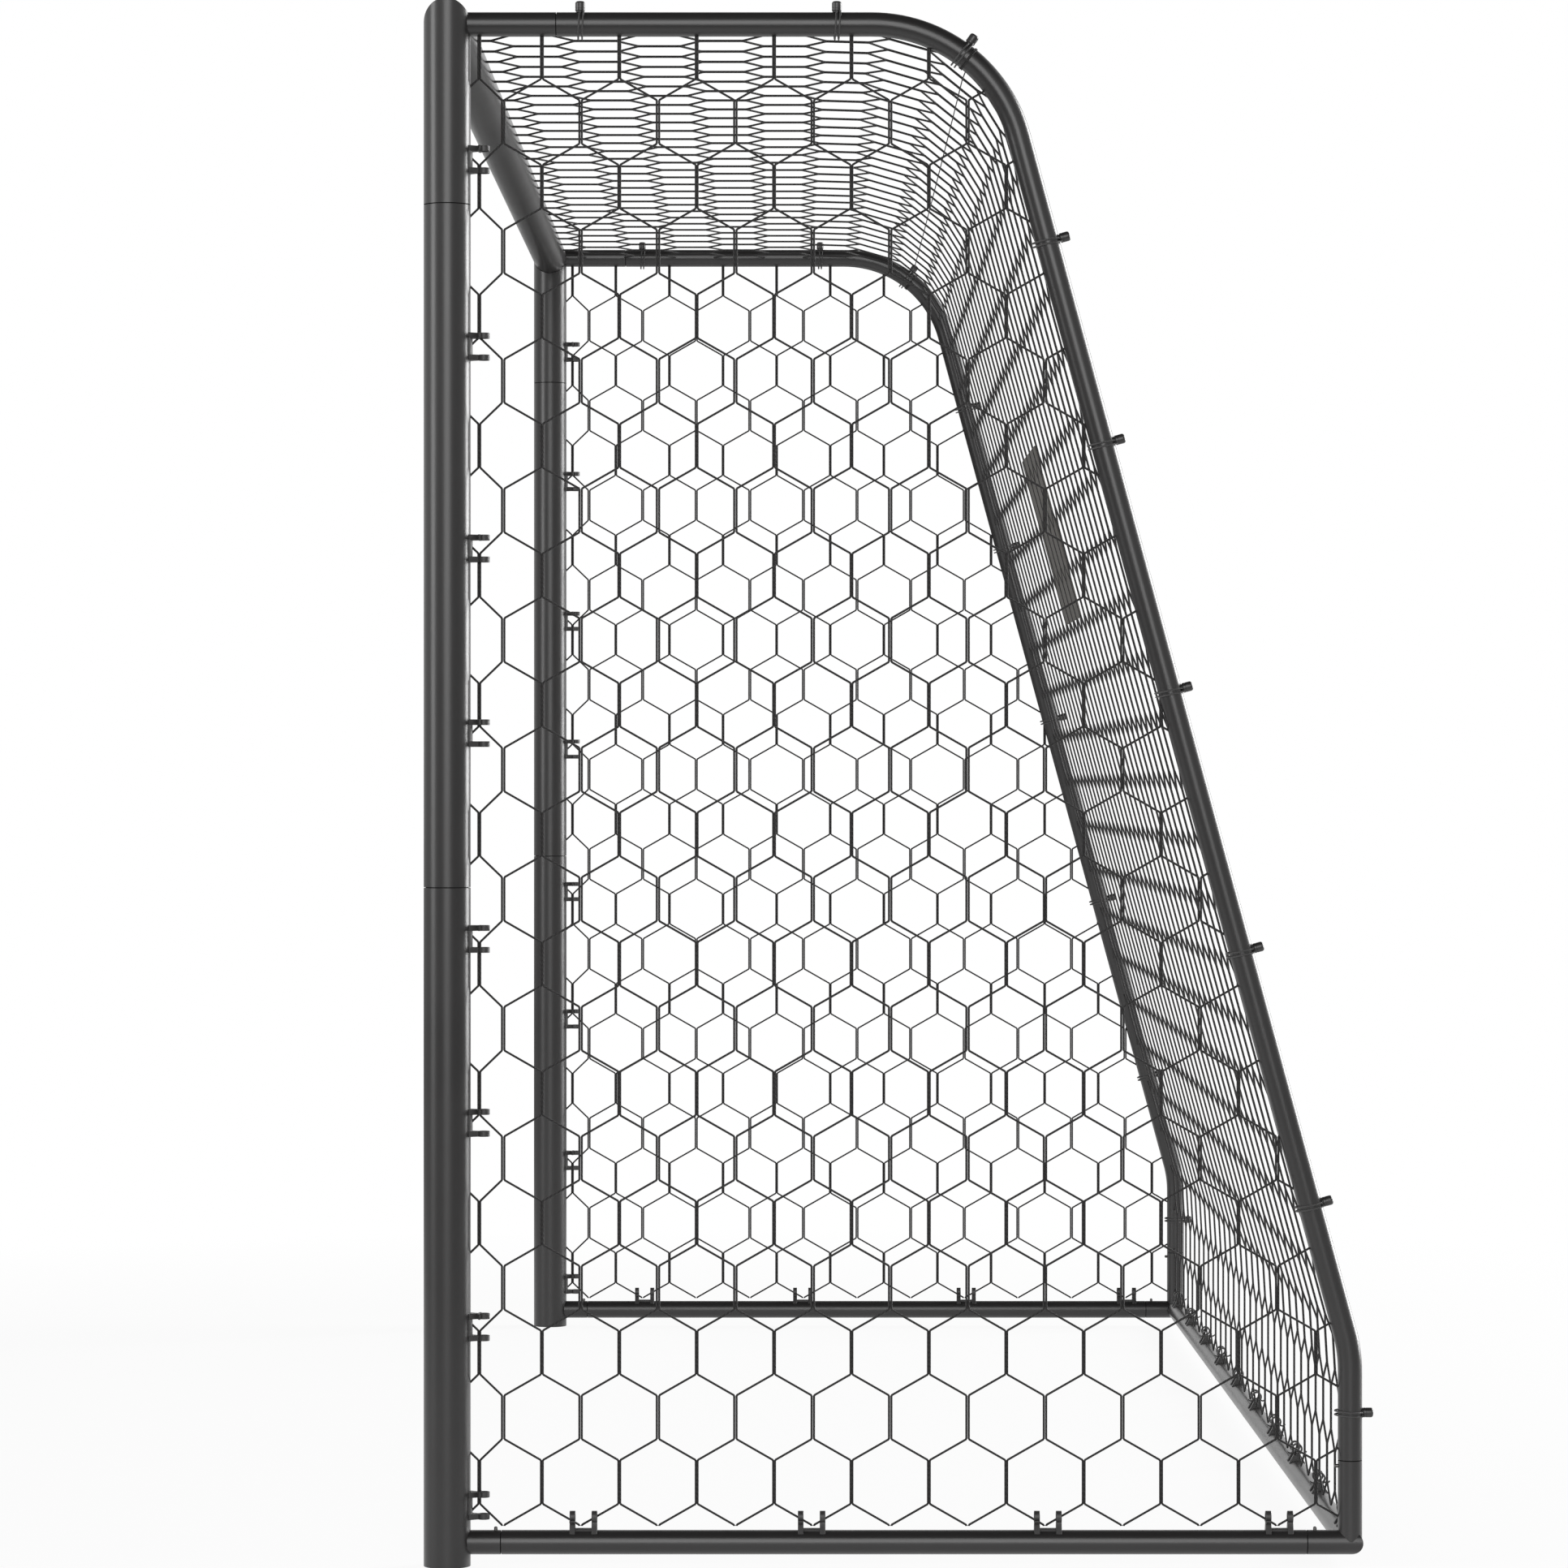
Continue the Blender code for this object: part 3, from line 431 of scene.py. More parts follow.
# %% [markdown]
# ## Tubes
#
# On the real goal every tube is a round, thin-walled length with its ends deburred, so that
# two tubes meet in a fine dark line. One end of each pair is swaged: rolled down so that it
# slides into the other. A tube is a circle carried along a path, so a Geometry Nodes tree
# sweeps it, once for the outside and once, turned over, for the bore. The radius is stored at
# each point of the path, which gives the swaged ends.

# %% Tube tree
BARE_STEP = 0.0006
SHELL, group = new_tree("swept_tube_wall", {
    "Wall": ("NodeSocketFloat", STAY_WALL),
    "Sides": ("NodeSocketInt", 48),
    "Full Radius": ("NodeSocketFloat", STAY_R),
    "Finish": ("NodeSocketMaterial", None),
    "Bare Finish": ("NodeSocketMaterial", None),
})
line = add_node(SHELL, "GeometryNodeMeshToCurve", {"Mesh": group["Geometry"]})
ring = add_node(SHELL, "GeometryNodeCurvePrimitiveCircle", {
    "Resolution": group["Sides"], "Radius": 1.0})
radius = stored(SHELL, "radius_here", "FLOAT")
room = math_node(SHELL, "SUBTRACT", radius, group["Wall"])
outside, inside = [add_node(SHELL, "GeometryNodeCurveToMesh", {
    "Curve": line.outputs["Curve"], "Profile Curve": ring.outputs["Curve"],
    "Scale": scale}).outputs["Mesh"] for scale in (radius, room)]
bore = add_node(SHELL, "GeometryNodeFlipFaces", {"Mesh": inside}).outputs["Mesh"]
both = add_node(SHELL, "GeometryNodeJoinGeometry")
for wall in (outside, bore):
    SHELL.links.new(wall, both.inputs["Geometry"])
coated = add_node(SHELL, "GeometryNodeSetMaterial", {
    "Geometry": both.outputs["Geometry"], "Material": group["Finish"]})
limit = math_node(SHELL, "SUBTRACT", group["Full Radius"], BARE_STEP)
swaged = math_node(SHELL, "LESS_THAN", radius, limit)
end_tree(SHELL, coated.outputs["Geometry"], group["Bare Finish"], swaged)
print("tree", SHELL.name)

# %% [markdown]
# The sweep leaves each end open between its two walls. A mitre, where two tubes meet at a
# corner, is a straight saw cut, so a plane cuts both walls there. Then every end is closed
# with a flat ring of faces, and its sharp rims are broken by a quarter of a millimetre, as a
# deburring tool would. Ring and rims stay without powder, which can't reach into a closed
# seam, so that the seam is the fine dark line that the photograph has.

# %% Tube ends
RIM = 0.00025
TUBE_FINISHES = (POWDER_COAT, BARE_STEEL)
BARE = TUBE_FINISHES.index(BARE_STEEL)


def end_loops(shape):
    """Boundary edges of a shape, sorted into loops, each with its centre."""
    left = {edge for edge in shape.edges if edge.is_boundary}
    loops = []
    while left:
        edge = left.pop()
        loop = [edge]
        reach = [edge]
        while reach:
            here = reach.pop()
            for vert in here.verts:
                for other in vert.link_edges:
                    if other in left:
                        left.remove(other)
                        loop.append(other)
                        reach.append(other)
        verts = {vert for one in loop for vert in one.verts}
        centre = sum((vert.co for vert in verts), Vector()) / len(verts)
        loops.append((centre, loop))
    return loops


def order_slots(mesh, finishes):
    """Give a grown mesh exactly these material slots, and keep each face's finish."""
    slots = [finishes.index(finish) if finish else 0 for finish in mesh.materials]
    marks = [slots[face.material_index] for face in mesh.polygons]
    mesh.materials.clear()
    for finish in finishes:
        mesh.materials.append(finish)
    mesh.polygons.foreach_set("material_index", marks)


print(f"tube ends are broken by {RIM * 1000:.2f} mm")

# %% Closed tubes


def tube(stations, wall, sides, cuts=()):
    """Closed tube wall through stations (place, radius), with mitre cuts (place, normal)."""
    places = [place for place, _ in stations]
    radii = [r for _, r in stations]
    mesh = grow(SHELL, path_mesh([places], radii), Wall=wall, Sides=sides, Full_Radius=max(radii),
                Finish=POWDER_COAT, Bare_Finish=BARE_STEEL)
    order_slots(mesh, TUBE_FINISHES)
    shape = opened(mesh)
    for place, normal in cuts:
        parts = shape.verts[:] + shape.edges[:] + shape.faces[:]
        bmesh.ops.bisect_plane(shape, geom=parts, dist=1e-6, plane_co=place, plane_no=normal,
                               clear_outer=True)
    rims = []
    loops = end_loops(shape)
    while loops:
        centre, loop = loops.pop()
        nearest = min(range(len(loops)), key=lambda i: (loops[i][0] - centre).length)
        mate = loops.pop(nearest)[1]
        ends = bmesh.ops.bridge_loops(shape, edges=loop + mate)
        for face in ends["faces"]:
            face.material_index = BARE
        rims += loop + mate
    bmesh.ops.recalc_face_normals(shape, faces=shape.faces)
    bmesh.ops.bevel(shape, geom=[e for e in rims if e.is_valid], offset=RIM, segments=2,
                    profile=0.5, affect="EDGES", material=BARE)
    return closed(shape, mesh)


def merged(meshes):
    """One mesh of several."""
    return closed(opened(*meshes), meshes[0])


def moved(mesh, matrix):
    """A copy of a mesh, carried by a matrix, with its faces still outwards."""
    copy = mesh.copy()
    copy.transform(matrix)
    if matrix.determinant() < 0:
        copy.flip_normals()
    return copy


def to_side(sign):
    """From the middle plane y = 0 to a side frame; the left one is a mirror image."""
    return Matrix.Translation((0, sign * HALF, 0)) @ Matrix.Scale(-sign, 4, (0, 1, 0))


print("tubes can be swept, joined and mirrored")

# %% [markdown]
# ## Button holes
#
# A spring pin pokes out through both walls of a joint near the ground. The holes are drilled
# through the outer tube and the spigot in one go. A Boolean with a short round bar is the
# plainest way to drill a mesh.

# %% Drilling
HOLE_R = 0.00275
HOLE_SIDES = 24
DRILL_LENGTH = 0.03


def drilled(mesh, places):
    """Mesh with a round hole from each place out along its direction."""
    work = show("drilling", mesh)
    bits = []
    for place, direction in places:
        shape = bmesh.new()
        bmesh.ops.create_cone(shape, cap_ends=True, segments=HOLE_SIDES, radius1=HOLE_R,
                              radius2=HOLE_R, depth=DRILL_LENGTH)
        turn = Vector(direction).to_track_quat("Z", "Y").to_matrix().to_4x4()
        middle = Vector(place) + Vector(direction) * DRILL_LENGTH / 2
        shape.transform(Matrix.Translation(middle) @ turn)
        bit_mesh = closed(shape, bpy.data.meshes.new("bit"))
        bit_mesh.materials.append(POWDER_COAT)
        bit = show("bit", bit_mesh)
        cut = work.modifiers.new("drill", "BOOLEAN")
        cut.operation = "DIFFERENCE"
        cut.solver = "EXACT"
        cut.object = bit
        bits.append(bit)
    result = plain_mesh(work)
    for spent in (work, *bits):
        bpy.data.objects.remove(spent, do_unlink=True)
    return result


BUTTON_FRONT = ((joints["press_front_right"][0], 0.0, GROUND_AXIS), (0, 0, 1))
BUTTON_REAR = ((joints["press_rear_right"][0], 0.0, GROUND_AXIS), (0, 0, 1))
BUTTON_UPRIGHT = ((REAR_X, 0.0, joints["press_upright_right"][2]), (-1, 0, 0))
print(f"holes are {2000 * HOLE_R:.1f} mm wide")

# %% [markdown]
# ## The side frames' tubes
#
# Each side frame is drawn in the plane y = 0 and carried to its side. Its six steel pieces are
# the lower post with the stub of the ground rail, the middle length of post, the top corner
# with the stub of the side rail, the bent side rail, the ground rail, and the rear corner with
# the socket of the upright. They are in the order in which they would be unpacked.

# %% Spigots and stubs
POST_SIDES = 64
STAY_SIDES = 40
SWAGE = 0.0008
SWAGE_STEP = 0.95
POST_SPIGOT_R = POST_R - POST_WALL - 0.0008
STAY_SPIGOT_R = STAY_R - STAY_WALL - 0.0006
POST_SPIGOT = 0.100
ROOF_SPIGOT = 0.060
UPRIGHT_SPIGOT = 0.045
GROUND_SPIGOT = 0.034
STUB_SINK = 0.004
SOCKET_LIFT = 0.002


def spigot(place, direction, length, thick=False):
    """Stations of a swaged end past the seam: a broken rim, a steep step and the spigot."""
    tube_r, spigot_r = (POST_R, POST_SPIGOT_R) if thick else (STAY_R, STAY_SPIGOT_R)
    ends = ((-SWAGE, tube_r), (RIM - SWAGE, tube_r - RIM), ((RIM - SWAGE) * SWAGE_STEP, spigot_r),
            (length, spigot_r))
    return [(Vector(place) + Vector(direction) * along, r) for along, r in ends]


def stay(stations, cuts=()):
    """Tube of the thin kind."""
    return tube(stations, STAY_WALL, STAY_SIDES, cuts)


def stub(end_x, height):
    """Short tube welded to the post."""
    start = (POST_X + POST_R - STUB_SINK, 0, height)
    return stay([(start, STAY_R), ((end_x, 0, height), STAY_R)])


print(f"spigots are {1000 * GROUND_SPIGOT:.0f} to {1000 * POST_SPIGOT:.0f} mm long")

# %% Side frame tubes


def post_length(low, high):
    stations = [((POST_X, 0, low), POST_R)]
    stations += spigot((POST_X, 0, high), (0, 0, 1), POST_SPIGOT, thick=True)
    return tube(stations, POST_WALL, POST_SIDES)


def top_corner():
    stations = [((POST_X, 0, SEAM_HIGH), POST_R), ((POST_X, 0, HEIGHT + POST_R), POST_R)]
    mitre = ((POST_X, -SEAM_GAP / 2, TOP_Z), (0, 1, 1))
    return merged([tube(stations, POST_WALL, POST_SIDES, [mitre]), stub(ROOF_SEAM, TOP_Z)])


def side_rail():
    front = spigot((ROOF_SEAM + SEAM_GAP, 0, TOP_Z), (-1, 0, 0), ROOF_SPIGOT)
    foot = spigot((REAR_X, 0, UPRIGHT_SEAM + SEAM_GAP), (0, 0, -1), UPRIGHT_SPIGOT)
    middle = [((x, 0, z), STAY_R) for x, z, _ in map(rail_place, rail_stops)]
    return drilled(stay(front[::-1] + middle + foot), [BUTTON_UPRIGHT])


def ground_rail():
    front = spigot((GROUND_SEAM_FRONT + SEAM_GAP, 0, GROUND_AXIS), (-1, 0, 0), GROUND_SPIGOT)
    rear = spigot((GROUND_SEAM_REAR - SEAM_GAP, 0, GROUND_AXIS), (1, 0, 0), GROUND_SPIGOT)
    return drilled(stay(front[::-1] + rear), [BUTTON_FRONT, BUTTON_REAR])


def rear_corner():
    side = [((GROUND_SEAM_REAR, 0, GROUND_AXIS), STAY_R),
            ((REAR_X + STAY_R * 3, 0, GROUND_AXIS), STAY_R)]
    elbow = stay(side, [((REAR_X - SEAM_GAP / 2, 0, GROUND_AXIS), (1, 1, 0))])
    socket = stay([((REAR_X, 0, GROUND_AXIS + SOCKET_LIFT), STAY_R),
                   ((REAR_X, 0, UPRIGHT_SEAM), STAY_R)])
    return drilled(merged([elbow, socket]), [BUTTON_REAR, BUTTON_UPRIGHT])


low_post = post_length(0.0, SEAM_LOW - SEAM_GAP)
side_tubes = {
    "post_lower": drilled(merged([low_post, stub(GROUND_SEAM_FRONT, GROUND_AXIS)]),
                          [BUTTON_FRONT]),
    "post_upper": post_length(SEAM_LOW, SEAM_HIGH - SEAM_GAP),
    "top_corner": top_corner(),
    "side_rail": side_rail(),
    "ground_rail": ground_rail(),
    "rear_corner": rear_corner(),
}
for part, mesh in side_tubes.items():
    for side, sign in SIDES.items():
        finish_piece(moved(mesh, to_side(sign)), f"{part}_tube_{side}", "frame",
                     [f"{part}_{side}"])
    print(part, len(mesh.polygons), "faces")

# %% [markdown]
# ## Crossbar and rear bar
#
# These two run across the goal and end in mitres, so each is one long tube with two saw cuts.
# The crossbar meets the posts; the thin rear bar meets the rear corners on the ground.

# %% Bars


def bar(x, z, tube_r, wall, sides, lean):
    """Tube across the goal, cut at each end by a plane whose normal leans towards (x, z)."""
    reach = HALF + tube_r * 2
    cuts = [((x, sign * (HALF - SEAM_GAP / 2), z), (lean[0], sign, lean[1])) for sign in (-1, 1)]
    return tube([((x, -reach, z), tube_r), ((x, reach, z), tube_r)], wall, sides, cuts)


crossbar = bar(POST_X, TOP_Z, POST_R, POST_WALL, POST_SIDES, (0, -1))
finish_piece(crossbar, "crossbar_tube", "frame", ["crossbar"])
rear_bar = bar(REAR_X, GROUND_AXIS, STAY_R, STAY_WALL, STAY_SIDES, (-1, 0))
finish_piece(rear_bar, "rear_bar_tube", "frame", ["rear_bar"])
print("crossbar and rear bar cut")

# %% [markdown]
# ## Netting twine
#
# The net is knotless: it is knitted from twisted polyethylene twine just under 3 mm thick. Each
# twine wanders down the net in a zigzag. It runs beside its left neighbour for 56 mm, crosses
# over, then runs beside its right neighbour, and those shared runs are the long, thick sides of
# the hexagons. Drawing whole twines, and not single edges, gives the doubled sides for free.
#
# A tree sweeps a small circle along each path and rounds the corners of the zigzag. It stores
# how far along and how far round the twine each point lies, for the ribs in the finish.

# %% Twine tree
TWINE_THICK = 0.0029
TWINE_CORNER = 0.0018
TWINE, group = new_tree("twine_along_path", {
    "Thickness": ("NodeSocketFloat", TWINE_THICK),
    "Corner": ("NodeSocketFloat", TWINE_CORNER),
    "Sides": ("NodeSocketInt", 8),
    "Finish": ("NodeSocketMaterial", None),
})
line = add_node(TWINE, "GeometryNodeMeshToCurve", {"Mesh": group["Geometry"]})
soft = add_node(TWINE, "GeometryNodeFilletCurve", {
    "Curve": line.outputs["Curve"], "Count": 1, "Radius": group["Corner"], "Limit Radius": True},
    mode="POLY")
along = add_node(TWINE, "GeometryNodeSplineParameter").outputs["Length"]
ring = add_node(TWINE, "GeometryNodeCurvePrimitiveCircle", {
    "Resolution": group["Sides"], "Radius": 1.0})
spot = add_node(TWINE, "GeometryNodeInputPosition").outputs["Position"]
swept = add_node(TWINE, "GeometryNodeCurveToMesh", {
    "Curve": store(TWINE, soft.outputs["Curve"], "along", along, "FLOAT"),
    "Profile Curve": store(TWINE, ring.outputs["Curve"], "around", spot, "FLOAT_VECTOR"),
    "Scale": math_node(TWINE, "MULTIPLY", group["Thickness"], 0.5), "Fill Caps": True})
end_tree(TWINE, swept.outputs["Mesh"], group["Finish"])
print("tree", TWINE.name)

# %% [markdown]
# The twine's finish is a matt black plastic fibre. Two twisted strands show as slanting ribs,
# which are a sine wave of the distance along and the turn round the twine. The ribs are a bump,
# and their tone is painted shade: darker in the grooves, lighter on the crowns.

# %% Twine finish
RIB_PITCH = 0.006


def twisted_ribs(tree, pitch, strands):
    """Height of a twist of strands, from the stored distance along and turn round the twine."""
    far = add_node(tree, "ShaderNodeAttribute", attribute_name="along").outputs["Fac"]
    turn = add_node(tree, "ShaderNodeAttribute", attribute_name="around").outputs["Vector"]
    angle = add_node(tree, "ShaderNodeSeparateXYZ", {"Vector": turn}).outputs
    wound = math_node(tree, "ARCTAN2", angle["Y"], angle["X"])
    lay = math_node(tree, "MULTIPLY", far, 2 * math.pi / pitch)
    phase = math_node(tree, "MULTIPLY_ADD", wound, float(strands), lay)
    return ranged(tree, math_node(tree, "SINE", phase), (-1.0, 1.0), (0.0, 1.0))


def net_twine():
    made, tree, shader = new_material("black_polyethylene_twine", "272626", 0.7, IOR=1.51,
                                      Specular_IOR_Level=0.3)
    ribs = twisted_ribs(tree, RIB_PITCH, 2)
    # painted shade: the twine is darker in the grooves between its strands and lighter on their
    # crowns
    set_tone(tree, shader, ribs, "222121", "2c2b2b")
    set_rough(tree, shader, ribs, 0.8, 0.6)
    set_bump(tree, shader, ribs, 0.12, 0.0003)
    return made


NET_TWINE = net_twine()
print("made", NET_TWINE.name)

# %% [markdown]
# ## Drawing the lattice
#
# The net's machine makes a regular lattice, so it is worked out: columns of long sides, every
# second one shifted by a row. A twine runs between each two neighbouring columns, and the two
# that share a long side lie side by side there. Where the net stops at a tube, the twine is cut:
# halving the step again and again finds the point at which it meets the steel.

# %% Lattice
COLUMN = 0.04947
ROW = 0.08279
LONG_SIDE = 0.0560
SPREAD = (0.00155, 0.00115)
HALVINGS = 20


def twine_paths(columns, first_even, phase, low, high, inside):
    """Paths of the twines between columns, cut to the inside of the net's outline.

    Even columns have the middle of a long side at the phase, odd ones a row further on.
    """
    paths = []
    first_row = math.floor((low - phase) / ROW) - 1
    last_row = math.ceil((high - phase) / ROW) + 1
    for gap in range(len(columns) - 1):
        path = []
        for row in range(first_row, last_row + 1):
            left = (gap + first_even + row) % 2 == 0
            column = columns[gap] if left else columns[gap + 1]
            shift = SPREAD[row % 2] * (1 if left else -1)
            middle = phase + row * ROW
            path.append((column + shift, middle - LONG_SIDE / 2))
            path.append((column + shift, middle + LONG_SIDE / 2))
        paths += cut_path(path, inside)
    return paths


def cut_path(path, inside):
    """The stretches of a path that lie inside, each with its ends on the border."""
    stretches = []
    current = [path[0]] if inside(path[0]) else []
    for here, there in zip(path, path[1:]):
        was, now = inside(here), inside(there)
        if was != now:
            near, far = (here, there) if was else (there, here)
            for _ in range(HALVINGS):
                middle = ((near[0] + far[0]) / 2, (near[1] + far[1]) / 2)
                near, far = (middle, far) if inside(middle) else (near, middle)
            current.append(near)
        if now:
            current.append(there)
        elif current:
            stretches.append(current)
            current = []
    if len(current) > 1:
        stretches.append(current)
    return [stretch for stretch in stretches if len(stretch) > 1]


def net_piece(paths, name, replaced):
    mesh = grow(TWINE, path_mesh(paths), Thickness=TWINE_THICK, Finish=NET_TWINE)
    return finish_piece(mesh, name, "frame", replaced, sharp=60)


print(f"hexagons {2 * COLUMN * 1000:.0f} mm wide, rows {ROW * 1000:.1f} mm apart")

# %% [markdown]
# ## Side nets
#
# Each side net fills its side frame, from the post to the bent rail and down to the ground
# rail's clips. At the post the first two columns are squeezed, because the clips pull the
# net's edge in against the steel. The lattice stands where the photograph has it.

# %% Side nets
SQUEEZED = 0.0305
FIRST_COLUMN = POST_X + 0.0716
SIDE_PHASE = 0.18956
NET_FOOT = 0.0508
BURY = 0.001

RAIL_SIDE = [(x, z, math.sin(turn), math.cos(turn)) for x, z, turn in
             map(rail_place, [0.0] + rail_stops + [LOWER_BEND_END + 0.1])]


def inside_side_frame(point):
    x, z = point
    if x < POST_X + POST_R - BURY or z < NET_FOOT:
        return False
    deepest = max((x - rx) * nx + (z - rz) * nz for rx, rz, nx, nz in RAIL_SIDE)
    return deepest < BURY - STAY_R


side_columns = [FIRST_COLUMN - 2 * SQUEEZED, FIRST_COLUMN - SQUEEZED]
side_columns += [FIRST_COLUMN + COLUMN * step for step in range(25)]
for side, sign in SIDES.items():
    flat = twine_paths(side_columns, 0, SIDE_PHASE, 0.0, HEIGHT, inside_side_frame)
    paths = [[(x, sign * HALF, z) for x, z in path] for path in flat]
    piece = net_piece(paths, f"side_net_{side}", [f"net_side_{side}"])
    print(piece.name, len(paths), "twines,", len(piece.data.polygons), "faces")

# %% [markdown]
# ## Roof and back net
#
# One long net runs from the crossbar over the roof and down the back. It is drawn flat, across
# the goal and along the rail, and then laid over the rails: the distance along becomes a place
# on the rail's path, and behind the roof the net lies a few millimetres inside the rails' axis.
#
# A real net is never hung evenly. This one has one row more than the rail is long, and the
# spare cells are bunched: most of them where the bend runs into the slope, a few near the
# ground. So NET_PULL lists, for distances along the flat net, how far the net has slipped along
# the rail there, as counted and measured in the photograph.

# %% Main net
MAIN_COLUMN = 0.049
MAIN_COLUMNS = 61
NET_END = LOWER_BEND_END + LOWER_BEND[1] - NET_FOOT
FLAT_END = NET_END + ROW
MAIN_PHASE = NET_END + LONG_SIDE / 2
NET_INSET = 0.0035
INSET_START = 0.46
INSET_RAMP = 0.12
NET_PULL = ((0.0, 0.012), (0.55, 0.009), (0.71, 0.004), (0.794, -0.0265), (0.877, -0.0500),
            (0.96, -0.0558), (2.418, -0.0578), (2.524, -0.0738), (2.616, -0.0733),
            (FLAT_END, -ROW))


def pulled(distance):
    """Distance along the rail of a place on the net, once the net is pulled over the bends."""
    for (start, first), (end, last) in zip(NET_PULL, NET_PULL[1:]):
        if distance <= end:
            return distance + first + (last - first) * (distance - start) / (end - start)
    return distance


def inside_main_net(point):
    y, distance = point
    return (abs(y) < HALF - STAY_R + BURY and POST_R - BURY < pulled(distance)
            and distance < FLAT_END)


def laid(path):
    """Flat path of the main net, laid over the rails and behind the roof a little inside."""
    points = []
    for y, distance in path:
        x, z, turn = rail_place(pulled(distance))
        inset = NET_INSET * min(1.0, max(0.0, (distance - INSET_START) / INSET_RAMP))
        points.append((x - inset * math.sin(turn), y, z - inset * math.cos(turn)))
    return points


main_columns = [MAIN_COLUMN * (step - MAIN_COLUMNS // 2) for step in range(MAIN_COLUMNS)]
flat = twine_paths(main_columns, 1, MAIN_PHASE, 0.0, FLAT_END, inside_main_net)
piece = net_piece([laid(path) for path in flat], "main_net",
                  ["net_roof", "net_shoulder", "net_back", "net_back_low"])
print(piece.name, len(flat), "twines,", len(piece.data.polygons), "faces")

# %% [markdown]
# ## Clips
#
# The net is held by moulded clips that snap on a tube. Seen along the tube, an arm is a forked
# foot that grips the steel, a short neck, and a round eye for the net's twine. One of the two
# arms is open at the neck, with two curled lips that lead the twine in; a thin saddle joins
# the arms. They are injection moulded from polypropylene, whose skin is satin, with a faint
# mottle left by the steel mould.

# %% Moulded plastic


def moulded_plastic(name, dark, light, roughness):
    made, tree, shader = new_material(name, dark, roughness, IOR=1.49)
    mottle = noise(tree, 260.0, 3.0, 0.6)
    set_tone(tree, shader, mottle, dark, light)
    set_rough(tree, shader, mottle, roughness - 0.06, roughness + 0.06)
    set_bump(tree, shader, mottle, 0.15, 0.0002)
    return made


CLIP_PLASTIC = moulded_plastic("black_moulded_polypropylene", "2c2b2b", "383737", 0.46)
print("made", CLIP_PLASTIC.name)

# %% [markdown]
# An arm is the same all through its width, so it starts as a flat outline. Only its right half
# is drawn, from the foot on the steel over the neck to the eye: NECK is measured from the
# tube's surface, and LIP, the curl of the open arm, from the root of the eye.

# %% Arm outline
ARM_SPREAD = 0.028
ARM_WIDTH = 0.0072
CLIP_REACH = 0.0245
EYE_R = 0.0078
EYE_WALL = 0.0021
FOOT_HALF = 0.0105
FOOT_TOE = (0.0012, 0.0004)
GRIP = 0.0003
NECK = ((0.0072, 0.0042), (0.0044, 0.0092))
LIP_ROOT = 0.0028
LIP = ((0.0062, -0.0014), (0.0092, -0.0022), (0.0122, -0.0012), (0.0140, 0.0012),
       (0.0132, 0.0018), (0.0116, 0.0002), (0.0092, -0.0006), (0.0070, 0.0006))


def arc(centre, arc_r, first, last, count):
    """Points on an arc, from angle first to last in degrees."""
    return [(centre[0] + arc_r * math.cos(math.radians(a)),
             centre[1] + arc_r * math.sin(math.radians(a))) for a in steps(first, last, count)]


def arm_outline(tube_r, lips):
    """Right half of an arm's outline, from the middle of its foot up to the top of its eye."""
    eye = (0.0, tube_r + CLIP_REACH - EYE_R)
    foot_turn = math.degrees(math.asin(FOOT_HALF / tube_r))
    half = arc((0, 0), tube_r - GRIP, 90, 90 - foot_turn, 6)
    half.append((FOOT_HALF + FOOT_TOE[0], half[-1][1] + FOOT_TOE[1]))
    half += [(x, tube_r + rise) for x, rise in NECK]
    if not lips:
        return half + arc(eye, EYE_R, -58, 90, 12)
    half += [(x, eye[1] - EYE_R + LIP_ROOT + rise) for x, rise in LIP]
    return half + arc(eye, EYE_R, -38, 90, 10)


print("an arm reaches", CLIP_REACH, "m from the steel")

# %% [markdown]
# The outline with the eye's hole becomes a flat curve, is extruded both ways, and gets softly
# rounded edges, as the mould gives them. One clip is made for each of the two tube sizes.

# %% Clip shape
RIM_ANGLE = math.radians(80)
SOFT_EDGE = 0.00035
SADDLE_THICK = 0.0026
SADDLE_EDGE = 0.0003
SADDLE_LENGTH = ARM_SPREAD - ARM_WIDTH + 0.001


def flat_solid(name, outline, holes, thickness, soften):
    """Flat outline with holes, extruded both ways, as a mesh with softened edges."""
    curve = bpy.data.curves.new(name, "CURVE")
    curve.dimensions = "2D"
    curve.fill_mode = "BOTH"
    curve.extrude = thickness / 2
    for loop in [outline, *holes]:
        spline = curve.splines.new("POLY")
        spline.points.add(len(loop) - 1)
        spline.use_cyclic_u = True
        for point, (x, y) in zip(spline.points, loop):
            point.co = (x, y, 0, 1)
    solid = show(name, curve)
    mesh = plain_mesh(solid)
    bpy.data.objects.remove(solid, do_unlink=True)
    shape = opened(mesh)
    bmesh.ops.remove_doubles(shape, verts=shape.verts, dist=1e-6)
    bmesh.ops.recalc_face_normals(shape, faces=shape.faces)
    rims = [e for e in shape.edges if len(e.link_faces) == 2 and e.calc_face_angle() > RIM_ANGLE]
    bmesh.ops.bevel(shape, geom=rims, offset=soften, segments=1, profile=0.5, affect="EDGES")
    return closed(shape, mesh)


